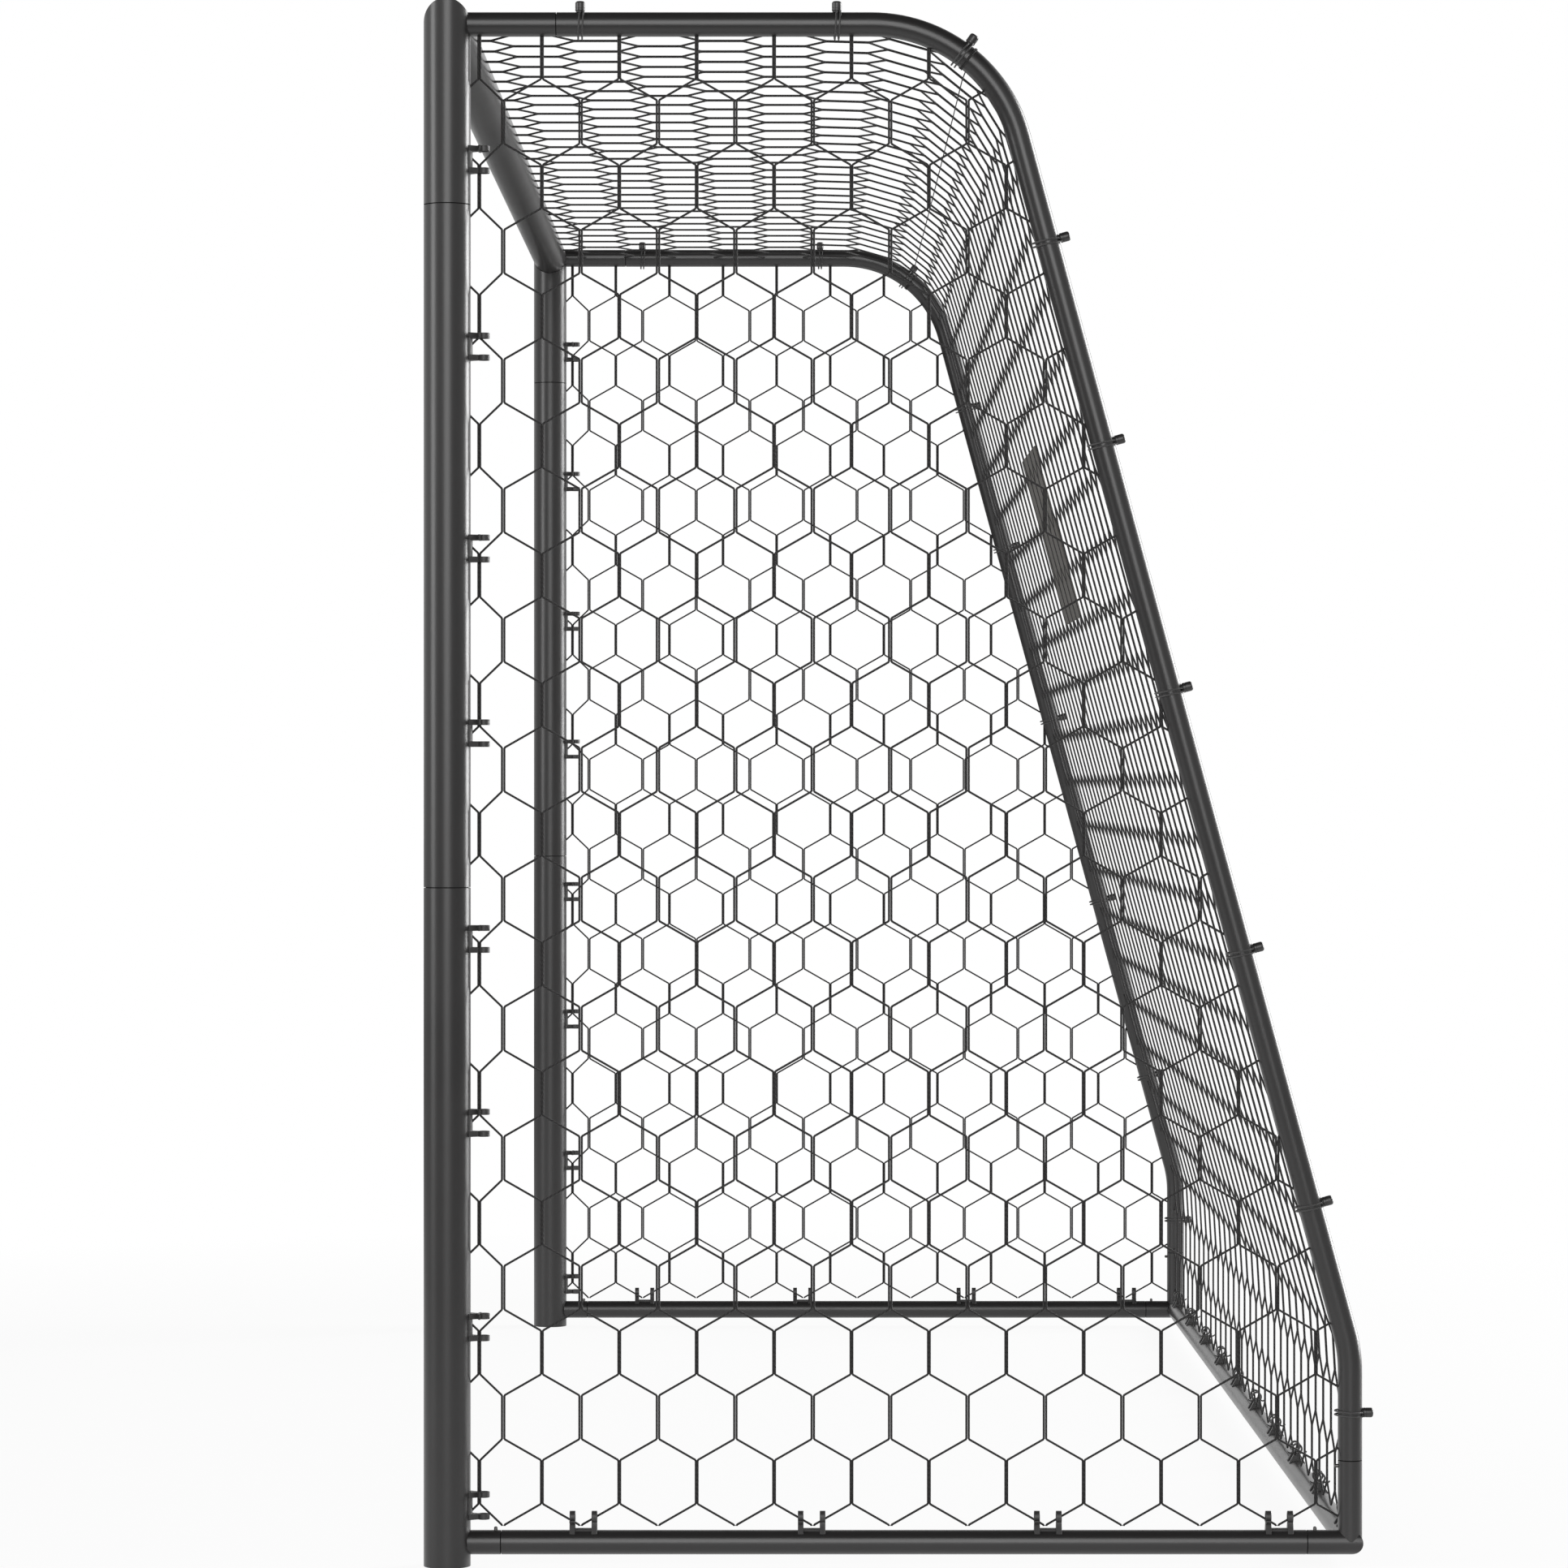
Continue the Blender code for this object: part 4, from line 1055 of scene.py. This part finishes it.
def clip_shape(tube_r):
    """Clip whose tube lies along X, with the eyes along +Z."""
    upright = Matrix.Rotation(math.radians(90), 4, "Z") @ Matrix.Rotation(math.radians(90), 4, "X")
    eye = (0.0, tube_r + CLIP_REACH - EYE_R)
    parts = []
    for x, lips in ((-ARM_SPREAD / 2, True), (ARM_SPREAD / 2, False)):
        half = arm_outline(tube_r, lips)
        outline = half + [(-u, v) for u, v in reversed(half[1:-1])]
        room = arc(eye, EYE_R - EYE_WALL, 0, 345, 23)
        arm = flat_solid("arm", outline, [room], ARM_WIDTH, SOFT_EDGE)
        parts.append(moved(arm, Matrix.Translation((x, 0, 0)) @ upright))
    saddle = arc((0, 0), tube_r - GRIP, 68, 112, 8) + arc((0, 0), tube_r + SADDLE_THICK, 110, 70, 8)
    bridge = flat_solid("saddle", saddle, [], SADDLE_LENGTH, SADDLE_EDGE)
    parts.append(moved(bridge, upright))
    return merged(parts)


CLIPS = {"post": clip_shape(POST_R), "stay": clip_shape(STAY_R)}
print("clip faces:", len(CLIPS["post"].polygons))

# %% [markdown]
# The clips repeat along straight tubes at uneven distances, as the mesh of the net asks. The
# tree puts a shape on each point of a mesh, turned as the point says.

# %% Placing tree
PLACE, group = new_tree("shape_on_points", {
    "Shape": ("NodeSocketObject", None),
    "Finish": ("NodeSocketMaterial", None),
})
shape_info = add_node(PLACE, "GeometryNodeObjectInfo", {"Object": group["Shape"]})
turn = stored(PLACE, "turn_here", "FLOAT_VECTOR")
rotation = add_node(PLACE, "FunctionNodeEulerToRotation", {"Euler": turn})
placed = add_node(PLACE, "GeometryNodeInstanceOnPoints", {
    "Points": group["Geometry"], "Instance": shape_info.outputs["Geometry"],
    "Rotation": rotation.outputs["Rotation"]})
end_tree(PLACE, placed.outputs["Instances"], group["Finish"])


def placed_copies(shape_mesh, finish, places, turns):
    """Copies of a shape at each place, with the turn there as an Euler rotation."""
    points = bpy.data.meshes.new("places")
    points.from_pydata(places, [], [])
    turned = points.attributes.new("turn_here", "FLOAT_VECTOR", "POINT")
    turned.data.foreach_set("vector", [angle for turn in turns for angle in turn])
    shape = show("shape", shape_mesh)
    mesh = grow(PLACE, points, Shape=shape, Finish=finish)
    bpy.data.objects.remove(shape, do_unlink=True)
    return mesh


print("tree", PLACE.name)

# %% Clip rows
QUARTER = math.pi / 2
POST_CLIPS = (0.077, 0.305, 0.566, 0.801, 1.064, 1.300, 1.558, 1.797)
GROUND_CLIPS = (0.1743, 0.4659, 0.7678, 1.0635)
REAR_CLIP_PITCH = 0.31
REAR_CLIPS = [REAR_CLIP_PITCH * (step - 4.5) for step in range(10)]


def clip_row(name, kind, places, turn, replaced):
    mesh = placed_copies(CLIPS[kind], CLIP_PLASTIC, places, [turn] * len(places))
    return finish_piece(mesh, name, "frame", replaced)


for side, sign in SIDES.items():
    for part, low, high in (("post_lower", 0, SEAM_LOW), ("post_upper", SEAM_LOW, SEAM_HIGH),
                            ("top_corner", SEAM_HIGH, HEIGHT)):
        places = [(POST_X, sign * HALF, z) for z in POST_CLIPS if low < z < high]
        clip_row(f"{part}_clips_{side}", "post", places, (0, QUARTER, 0), [f"{part}_{side}"])
    places = [(POST_X + x, sign * HALF, GROUND_AXIS) for x in GROUND_CLIPS]
    clip_row(f"ground_rail_clips_{side}", "stay", places, (0, 0, 0), [f"ground_rail_{side}"])
places = [(REAR_X, y, GROUND_AXIS) for y in REAR_CLIPS]
clip_row("rear_bar_clips", "stay", places, (0, 0, QUARTER), ["rear_bar"])
for spent in CLIPS.values():
    bpy.data.meshes.remove(spent)
print("34 clips in place")

# %% [markdown]
# ## Ties
#
# Along the bent rails the net is held by elastic ties. Each is a loop of shock cord, wound
# twice round the rail, which stands a little off on the inner side where it hooks the net, and
# a barrel cap on the outer side that holds both ends. The cord has a woven sleeve over rubber,
# so it gets a fine crossed weave as a bump, with painted shade in its gaps and lighter crowns;
# the cap is the clips' plastic, but glossier.
#
# The tree that draws the twine also winds the two turns, along a path that bulges where it
# hooks the net and rises at both ends into the cap. The cap is turned on its axis, like the
# pins and plugs further on.

# %% Tie cord
WEAVE_PITCH = 0.003
TIE_CORD = 0.0023
TIE_HOOK = 0.0026
HOOK_SPREAD = 26
TIE_PITCH = 0.0025
TIE_HUG = 0.0001
TURN_STEPS = 48
END_STEPS = 4
END_LIFT = 0.0030
END_DRAW = 0.3
TIE_CORNER = 0.0004


def sleeved_cord():
    made, tree, shader = new_material("black_sleeved_shock_cord", "302f2f", 0.6, IOR=1.5,
                                      Sheen_Weight=0.15)
    one_way, other_way = [twisted_ribs(tree, pitch, 6) for pitch in (WEAVE_PITCH, -WEAVE_PITCH)]
    weave = math_node(tree, "MAXIMUM", one_way, other_way)
    # painted shade: the weave is darker in its gaps and lighter on its crowns
    set_tone(tree, shader, weave, "232222", "3f3e3e")
    set_bump(tree, shader, weave, 0.25, 0.0002)
    return made


def tie_loops():
    """Two turns of cord round a rail that lies along X, with the cap along +Z."""
    path = []
    for step in range(2 * TURN_STEPS + 1):
        turns = step / TURN_STEPS
        angle = 2 * math.pi * turns
        from_hook = (math.degrees(angle) % 360 - 180) / HOOK_SPREAD
        ending = max(0.0, 1 - min(step, 2 * TURN_STEPS - step) / END_STEPS)
        reach = STAY_R + TIE_CORD / 2 + TIE_HUG
        reach += TIE_HOOK * math.exp(-from_hook ** 2) + END_LIFT * ending
        x = TIE_PITCH * 2 * (turns - 1) * (1 - END_DRAW * ending)
        path.append((x, reach * math.sin(angle), reach * math.cos(angle)))
    return path


TIE_CORD_FINISH = sleeved_cord()
tie_turns = grow(TWINE, path_mesh([tie_loops()]), Thickness=TIE_CORD, Corner=TIE_CORNER,
                 Sides=8, Finish=TIE_CORD_FINISH)
print("a tie's cord has", len(tie_turns.polygons), "faces")

# %% Tie cap
CAP_R = 0.0063
CAP_BASE = STAY_R + 0.0012
CAP_TOP = STAY_R + 0.0140
CAP_THROAT = 0.0014
CAP_SINK = 0.0010
CAP_FOOT = 0.0009
CAP_EDGE = 0.0030
CAP_GROOVE = ((0.0, 0.0030), (0.0003, 0.0032), (0.0003, 0.0037), (0.0, 0.0039))


def turned_mesh(profile, count):
    """Solid of revolution about Z from (radius, height) pairs that start and end on the axis."""
    shape = bmesh.new()
    line = [shape.verts.new((r, 0, z)) for r, z in profile]
    edges = [shape.edges.new(pair) for pair in zip(line, line[1:])]
    bmesh.ops.spin(shape, geom=line + edges, axis=(0, 0, 1), cent=(0, 0, 0), steps=count,
                   angle=2 * math.pi, use_merge=True)
    bmesh.ops.remove_doubles(shape, verts=shape.verts, dist=1e-6)
    bmesh.ops.recalc_face_normals(shape, faces=shape.faces)
    return closed(shape, bpy.data.meshes.new("turned"))


def cap_profile():
    """Barrel with a rounded top and lower edge, a fine groove, and a throat at the rail."""
    throat = CAP_R - CAP_THROAT
    body = [(0.0, CAP_BASE - CAP_SINK), (throat, CAP_BASE - CAP_SINK), (throat, CAP_BASE)]
    body += arc((CAP_R - CAP_FOOT, CAP_BASE + CAP_FOOT), CAP_FOOT, -90, 0, 4)
    body += [(CAP_R - depth, CAP_BASE + rise) for depth, rise in CAP_GROOVE]
    body += arc((CAP_R - CAP_EDGE, CAP_TOP - CAP_EDGE), CAP_EDGE, 0, 90, 7)
    return body + [(0.0, CAP_TOP)]


CAP_PLASTIC = moulded_plastic("black_moulded_cap", "282727", "323131", 0.34)
tie_cap = turned_mesh(cap_profile(), 24)
print("a cap has", len(tie_cap.polygons), "faces")

# %% Ties on the rails
TIE_STATIONS = (0.170, 0.498, 0.666, 0.936, 1.204, 1.532, 1.877, 2.213, 2.484)
spots = [rail_place(distance) for distance in TIE_STATIONS]
turns = [(0, turn, 0) for _, _, turn in spots]
for side, sign in SIDES.items():
    places = [(x, sign * HALF, z) for x, z, _ in spots]
    cords = placed_copies(tie_turns.copy(), TIE_CORD_FINISH, places, turns)
    caps = placed_copies(tie_cap.copy(), CAP_PLASTIC, places, turns)
    nodes = [f"net_tie_{side}_{number}" for number in range(1, len(TIE_STATIONS) + 1)]
    finish_piece(cords, f"tie_cords_{side}", "frame", nodes, sharp=60)
    finish_piece(caps, f"tie_caps_{side}", "frame", nodes)
print(f"{2 * len(TIE_STATIONS)} ties on the rails")

# %% [markdown]
# ## Support cord
#
# A thin cord runs from rail to rail just under the net's shoulder and keeps it from sagging.
# It is tied at both rails with two turns, hangs down 4 mm in the middle, and is the same kind
# of twine as the net, but thinner.

# %% Support cord
CORD_THICK = 0.0016
CORD_TURN = math.radians(40)
CORD_DROP = 0.0075
CORD_SAG = 0.004
CORD_WINDS = 2.25
CORD_PITCH = 0.0018
CORD_CORNER = 0.001
cord_r = BEND_R - CORD_DROP
cord_x = UPPER_BEND[0] + cord_r * math.sin(CORD_TURN)
cord_z = UPPER_BEND[1] + cord_r * math.cos(CORD_TURN)
rail_x, rail_z, rail_turn = rail_place(ROOF_RUN + BEND_R * CORD_TURN)
tangent = Vector((math.cos(rail_turn), 0, -math.sin(rail_turn)))
outward = Vector((math.sin(rail_turn), 0, math.cos(rail_turn)))


def cord_knot(sign):
    """Two turns of the cord round a rail, from the cord's end to where it leaves the rail."""
    knot = []
    reach = STAY_R + CORD_THICK / 2
    across = Vector((0, -sign, 0))
    for wind in steps(0, CORD_WINDS, 54):
        angle = 2 * math.pi * wind
        place = Vector((rail_x, sign * HALF, rail_z)) + tangent * CORD_PITCH * (wind - CORD_WINDS)
        knot.append(place + reach * (math.cos(angle) * -outward + math.sin(angle) * across))
    return knot


span = []
for share in steps(-1, 1, 24)[1:-1]:
    sag = CORD_SAG * (1 - share ** 2)
    span.append((cord_x, (HALF - STAY_R) * share, cord_z - sag))
cord_path = cord_knot(-1) + span + cord_knot(1)[::-1]
cord_mesh = grow(TWINE, path_mesh([cord_path]), Thickness=CORD_THICK, Corner=CORD_CORNER,
                 Finish=NET_TWINE)
finish_piece(cord_mesh, "shoulder_cord", "frame", ["support_cord"], sharp=60)
cord_length = sum((Vector(b) - Vector(a)).length for a, b in zip(cord_path, cord_path[1:]))
print(f"support cord, {cord_length:.2f} m with its knots")

# %% [markdown]
# ## Snap buttons
#
# A snap button is a hardened steel pin with a domed tip, blackened in a hot oxide bath, which
# leaves a thin dark skin over bright metal. Its flat head keeps it from falling out of the
# hole. The pins move, so each one rides on its own body. A pin is turned on a lathe, and here
# too: its profile is spun round its axis.

# %% Metals


def metal(name, hex_colour, roughness, streak):
    made, tree, shader = new_material(name, hex_colour, roughness, Metallic=1.0)
    place = add_node(tree, "ShaderNodeTexCoord").outputs["Object"]
    drawn = add_node(tree, "ShaderNodeMapping", {"Vector": place, "Scale": streak})
    grain = noise(tree, 900.0, 2.0, place=drawn.outputs["Vector"])
    set_rough(tree, shader, grain, roughness - 0.06, roughness + 0.08)
    set_bump(tree, shader, grain, 0.08, 0.0001)
    return made


BLACKED_STEEL = metal("blackened_steel", "5a5958", 0.34, (1.0, 1.0, 1.0))
SPRING_STEEL = metal("spring_steel", "c2c1be", 0.28, (0.1, 1.0, 1.0))
print("made", BLACKED_STEEL.name, "and", SPRING_STEEL.name)

# %% Pins
PIN_R = 0.00235
PIN_PROUD = 0.0045
PIN_DOME = 0.0016
HEAD_LOW = 0.0092
HEAD_HIGH = HEAD_LOW + 0.0010
HEAD_R = 0.0038
STATION_TURNS = {"front": (0, 0, 0), "rear": (0, 0, 0), "upright": (0, -QUARTER, 0)}
tip = STAY_R + PIN_PROUD
pin_profile = [(0.0, HEAD_LOW), (HEAD_R, HEAD_LOW), (HEAD_R, HEAD_HIGH), (PIN_R, HEAD_HIGH)]
pin_profile += arc((PIN_R - PIN_DOME, tip - PIN_DOME), PIN_DOME, 0, 70, 6) + [(0.0, tip)]
for station, turn in STATION_TURNS.items():
    for side in SIDES:
        place = joints[f"press_{station}_{side}"]
        pin = placed_copies(turned_mesh(pin_profile, 28), BLACKED_STEEL, [place], [turn])
        finish_piece(pin, f"pin_{station}_{side}", f"button_{station}_{side}",
                     [f"snap_button_{station}_{side}"])
print("six pins,", PIN_PROUD, "m proud of the tube")

# %% [markdown]
# ## Springs
#
# Behind each pin a V-shaped leaf of spring steel lies in the tube. It is stamped from strip,
# bent at the knee and left bright. Its lower leg rests on the tube's wall, and its upper leg
# presses on the pin's head and bends when the pin is pushed in. So the two legs are two pieces:
# the lower rides on the frame, and the upper is not attached to any body. The upper has steps
# along its length, so that it could bend smoothly.

# %% Springs
SPRING_GAUGE = 0.0008
SPRING_LENGTH = 0.042
SPRING_WIDTH = 0.006
SPRING_TIP = 0.0045
SPRING_ROOM = 0.0010
KNEE_X = SPRING_LENGTH - 0.0015
KNEE_Z = 0.0006
LEG_Z = STAY_SPIGOT_R - STAY_WALL - SPRING_ROOM - SPRING_GAUGE / 2
UNDER_PIN_Z = HEAD_LOW - SEAM_GAP - SPRING_GAUGE / 2
BEND_PARTS = 12
SPRING_TURNS = {"front": (0, 0, 0), "rear": (0, 0, math.pi), "upright": (0, -QUARTER, 0)}
UPPER_LEG = [(-SPRING_TIP, UNDER_PIN_Z), *zip(steps(SPRING_TIP, KNEE_X, BEND_PARTS),
                                              steps(UNDER_PIN_Z, KNEE_Z, BEND_PARTS))]
LOWER_LEG = [(KNEE_X, KNEE_Z), (SPRING_LENGTH, -KNEE_Z), (KNEE_X, -3 * KNEE_Z),
             (-SPRING_TIP, -LEG_Z)]


def leaf(line):
    """Strip of spring steel, bent along a line in the XZ plane."""
    points = [(x, y, z) for y in (-SPRING_WIDTH / 2, SPRING_WIDTH / 2) for x, z in line]
    count = len(line)
    mesh = bpy.data.meshes.new("leaf")
    mesh.from_pydata(points, [], [(i, i + 1, i + 1 + count, i + count) for i in range(count - 1)])
    strip = show("leaf", mesh)
    gauge = strip.modifiers.new("gauge", "SOLIDIFY")
    gauge.thickness = SPRING_GAUGE
    gauge.offset = 0.0
    solid = plain_mesh(strip)
    bpy.data.objects.remove(strip, do_unlink=True)
    return solid


def fit_leg(leg, line, body, station, side):
    """Leg of the spring behind one button, turned to lie along its tube."""
    place = joints[f"press_{station}_{side}"]
    made = placed_copies(leaf(line), SPRING_STEEL, [place], [SPRING_TURNS[station]])
    return finish_piece(made, f"spring_{leg}_{station}_{side}", body,
                        [f"button_spring_{station}_{side}"])


for station, turn in SPRING_TURNS.items():
    for side in SIDES:
        fit_leg("lower", LOWER_LEG, "frame", station, side)
        piece = fit_leg("upper", UPPER_LEG, None, station, side)
        place = Vector(joints[f"press_{station}_{side}"])
        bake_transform(piece)
print("six springs in two legs each")

# %% [markdown]
# ## Foot plugs
#
# A soft black polyethylene plug closes the foot of each post, so that the steel doesn't cut the
# floor. Three triangular ribs hold it in the bore. It is round, so it is turned too.

# %% Foot plugs
SOFT_PLASTIC = moulded_plastic("black_polyethylene_plug", "262626", "313131", 0.55)
PLUG_R = POST_R - POST_WALL - 0.0003
PLUG_EDGE = 0.0006
PLUG_FLOOR = 0.0030
PLUG_TOP = 0.0140
PLUG_RIBS = (0.0055, 0.0085, 0.0115)
RIB_DEPTH = 0.0014
RIB_RISE = 0.0015
PLUG_BORE_R = PLUG_R - 0.0038
plug_profile = [(0.0, 0.0), (PLUG_R - PLUG_EDGE, 0.0), (PLUG_R, PLUG_EDGE), (PLUG_R, PLUG_FLOOR)]
for rib in PLUG_RIBS:
    plug_profile += [(PLUG_R - RIB_DEPTH, rib), (PLUG_R, rib + RIB_RISE)]
plug_profile += [(PLUG_R - RIB_DEPTH, PLUG_TOP), (PLUG_BORE_R, PLUG_TOP),
                 (PLUG_BORE_R, PLUG_FLOOR), (0.0, PLUG_FLOOR)]
for side, sign in SIDES.items():
    plug = placed_copies(turned_mesh(plug_profile, POST_SIDES), SOFT_PLASTIC,
                         [(POST_X, sign * HALF, 0)], [(0, 0, 0)])
    finish_piece(plug, f"foot_plug_{side}", "frame", [f"post_foot_plug_{side}"])
print("two plugs")

# %% [markdown]
# ## Badge
#
# A dark grey sheet hangs on the inner face of the back net. On the real goal it carries a
# printed mark; here it stays bare. It is die-cut from calendered soft plastic, with a fine
# leather-like grain of about 0.5 mm. That grain is drawn at 1.5 mm, because half a millimetre
# would vanish in the render.

# %% Badge


def badge_sheet():
    made, tree, shader = new_material("grey_matte_plastic_sheet", "47443f", 0.6, IOR=1.5)
    place = add_node(tree, "ShaderNodeTexCoord").outputs["Object"]
    cells = add_node(tree, "ShaderNodeTexVoronoi", {"Vector": place, "Scale": 650.0})
    grain = cells.outputs["Distance"]
    set_tone(tree, shader, grain, "4b4843", "423f3b")
    set_rough(tree, shader, grain, 0.55, 0.7)
    set_bump(tree, shader, grain, 0.2, 0.0003)
    return made


badge = frame["nodes"]["badge_plate"]
badge.data.materials.clear()
badge.data.materials.append(badge_sheet())
print("badge left bare")

# %% [markdown]
# ## Floor
#
# The photograph is a catalogue picture: square from the side, through a long lens, on pure
# white. Such a goal stands on a seamless sheet of white paper that is lit until it burns out.
# So the floor glows white for the camera, and near the goal a small share of it is an ordinary
# matt floor that takes the soft shadow. In what the tubes mirror, the floor darkens further
# away, where the lamps of a real studio don't reach it, or the tubes would look grey.

# %% Floor
FLOOR_HALF = 40.0
FLOOR_DROP = 0.0005
GLOW_SHARE = (0.92, 1.0)
GLOW_RING = (2.0, 3.6)
MIRROR_TONE = (1.0, 0.08)
MIRROR_RING = (2.5, 6.0)


def white_floor():
    made = bpy.data.materials.new("pale_floor")
    made.use_nodes = True
    tree = made.node_tree
    tree.nodes.clear()
    lit = add_node(tree, "ShaderNodeBsdfDiffuse", {"Color": (0.8, 0.8, 0.8, 1.0)}).outputs["BSDF"]
    place = add_node(tree, "ShaderNodeTexCoord").outputs["Object"]
    away = add_node(tree, "ShaderNodeVectorMath", {0: place}, operation="LENGTH").outputs["Value"]
    rays = add_node(tree, "ShaderNodeLightPath").outputs
    strength = add_node(tree, "ShaderNodeMix", {
        "Factor": rays["Is Camera Ray"], "A": ranged(tree, away, MIRROR_RING, MIRROR_TONE),
        "B": 1.0})
    glow = add_node(tree, "ShaderNodeEmission", {"Strength": strength.outputs["Result"]})
    shown = add_node(tree, "ShaderNodeMixShader", {
        "Fac": ranged(tree, away, GLOW_RING, GLOW_SHARE), 1: lit, 2: glow.outputs["Emission"]})
    mirrored = math_node(tree, "MAXIMUM", rays["Is Glossy Ray"], rays["Is Transmission Ray"])
    seen = math_node(tree, "MAXIMUM", rays["Is Camera Ray"], mirrored)
    mixed = add_node(tree, "ShaderNodeMixShader", {
        "Fac": seen, 1: lit, 2: shown.outputs["Shader"]})
    add_node(tree, "ShaderNodeOutputMaterial", {"Surface": mixed.outputs["Shader"]})
    return made


floor_shape = bmesh.new()
bmesh.ops.create_grid(floor_shape, x_segments=1, y_segments=1, size=FLOOR_HALF)
floor_mesh = closed(floor_shape, bpy.data.meshes.new("floor"))
floor_mesh.materials.append(white_floor())
floor = show("floor", floor_mesh)
floor.location.z = -FLOOR_DROP
floor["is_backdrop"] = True
print("white floor")

# %% [markdown]
# ## World
#
# The world is the studio round the goal. The camera sees it pure white. The light it sheds, and
# what the tubes mirror of it, is bright only low down, weaker on the camera's side and nearly
# dark overhead, as between a white backdrop and a studio's ceiling.

# %% World
world = bpy.data.worlds.new("studio")
bpy.context.scene.world = world
world.use_nodes = True
sky = world.node_tree
sky.nodes.clear()
direction = add_node(sky, "ShaderNodeTexCoord").outputs["Generated"]
way = add_node(sky, "ShaderNodeSeparateXYZ", {"Vector": direction}).outputs
low_band = ranged(sky, way["Z"], (0.35, 0.75), (1.0, 0.03), interpolation_type="SMOOTHSTEP")
backdrop = ranged(sky, way["Y"], (-0.1, 0.5), (0.5, 1.0), interpolation_type="SMOOTHSTEP")
glow = math_node(sky, "MULTIPLY", low_band, backdrop)
around, white = [add_node(sky, "ShaderNodeBackground", {
    "Color": (1, 1, 1, 1), "Strength": strength}).outputs["Background"] for strength in (glow, 1.0)]
rays = add_node(sky, "ShaderNodeLightPath").outputs
mirrored = math_node(sky, "MULTIPLY", rays["Is Glossy Ray"], glow)
direct = math_node(sky, "MAXIMUM", rays["Is Camera Ray"], rays["Is Transmission Ray"])
seen = math_node(sky, "MAXIMUM", direct, mirrored)
mixed = add_node(sky, "ShaderNodeMixShader", {"Fac": seen, 1: around, 2: white})
add_node(sky, "ShaderNodeOutputWorld", {"Surface": mixed.outputs["Shader"]})
print("studio world")

# %% [markdown]
# ## Lamps
#
# Large soft lamps stand where a studio's would: one over the camera, one to the left, and one
# further back on the right. They give the tubes their long soft streaks.

# %% Lamps
MIDDLE = (0.0, 0.0, 1.0)
NEAR_POST = (POST_X, -HALF, 1.3)


def softbox(name, place, aim, size, power):
    """Large area lamp at a place, turned to its aim; size in metres, power in watts."""
    lamp = bpy.data.lights.new(name, "AREA")
    lamp.shape = "RECTANGLE"
    lamp.size, lamp.size_y = size
    lamp.energy = power
    box = show(name, lamp)
    box.location = place
    box.rotation_euler = (Vector(aim) - Vector(place)).to_track_quat("-Z", "Y").to_euler()


softbox("over_camera", (0.0, -10.5, 3.6), MIDDLE, (4.6, 6.4), 390)
softbox("left_of_goal", (-7.2, -4.0, 2.9), NEAR_POST, (2.6, 4.8), 230)
softbox("right_of_goal", (6.4, 2.8, 2.8), NEAR_POST, (3.4, 5.2), 800)
print("three lamps")

# %% [markdown]
# The camera looks straight along the goal's width. Two things fix it: the near side frame's
# scale gives the lens, and the far one, smaller by a fixed ratio, gives the distance.

# %% Camera
PHOTO_SIDE = 1932
NEAR_SCALE = 963.9
FAR_TO_NEAR = 0.6925
VANISHING = (964.0, 967.3)
BEHIND_POST = 0.4285
EYE_HEIGHT = 0.9977
near_distance = 2 * HALF * FAR_TO_NEAR / (1 - FAR_TO_NEAR)
focal_pixels = NEAR_SCALE * near_distance
camera = bpy.data.cameras.new("camera")
camera.sensor_width = 36.0
camera.lens = camera.sensor_width * focal_pixels / PHOTO_SIDE
camera.shift_x = (PHOTO_SIDE / 2 - VANISHING[0]) / PHOTO_SIDE
camera.shift_y = (VANISHING[1] - PHOTO_SIDE / 2) / PHOTO_SIDE
camera.clip_end = 200.0
viewer = show("camera", camera)
viewer.location = (POST_X + BEHIND_POST, -HALF - near_distance, EYE_HEIGHT)
viewer.rotation_euler = (QUARTER, 0, 0)
bpy.context.scene.camera = viewer
bpy.context.scene.view_settings.view_transform = "Standard"
print(f"lens {camera.lens:.1f} mm at {near_distance:.2f} m from the near side")

# %% [markdown]
#
# The box of every shown piece of the dressed goal is worked out, and its size is printed.

# %% Finish
low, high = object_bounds()
print("size", [round(b - a, 4) for a, b in zip(low, high)])
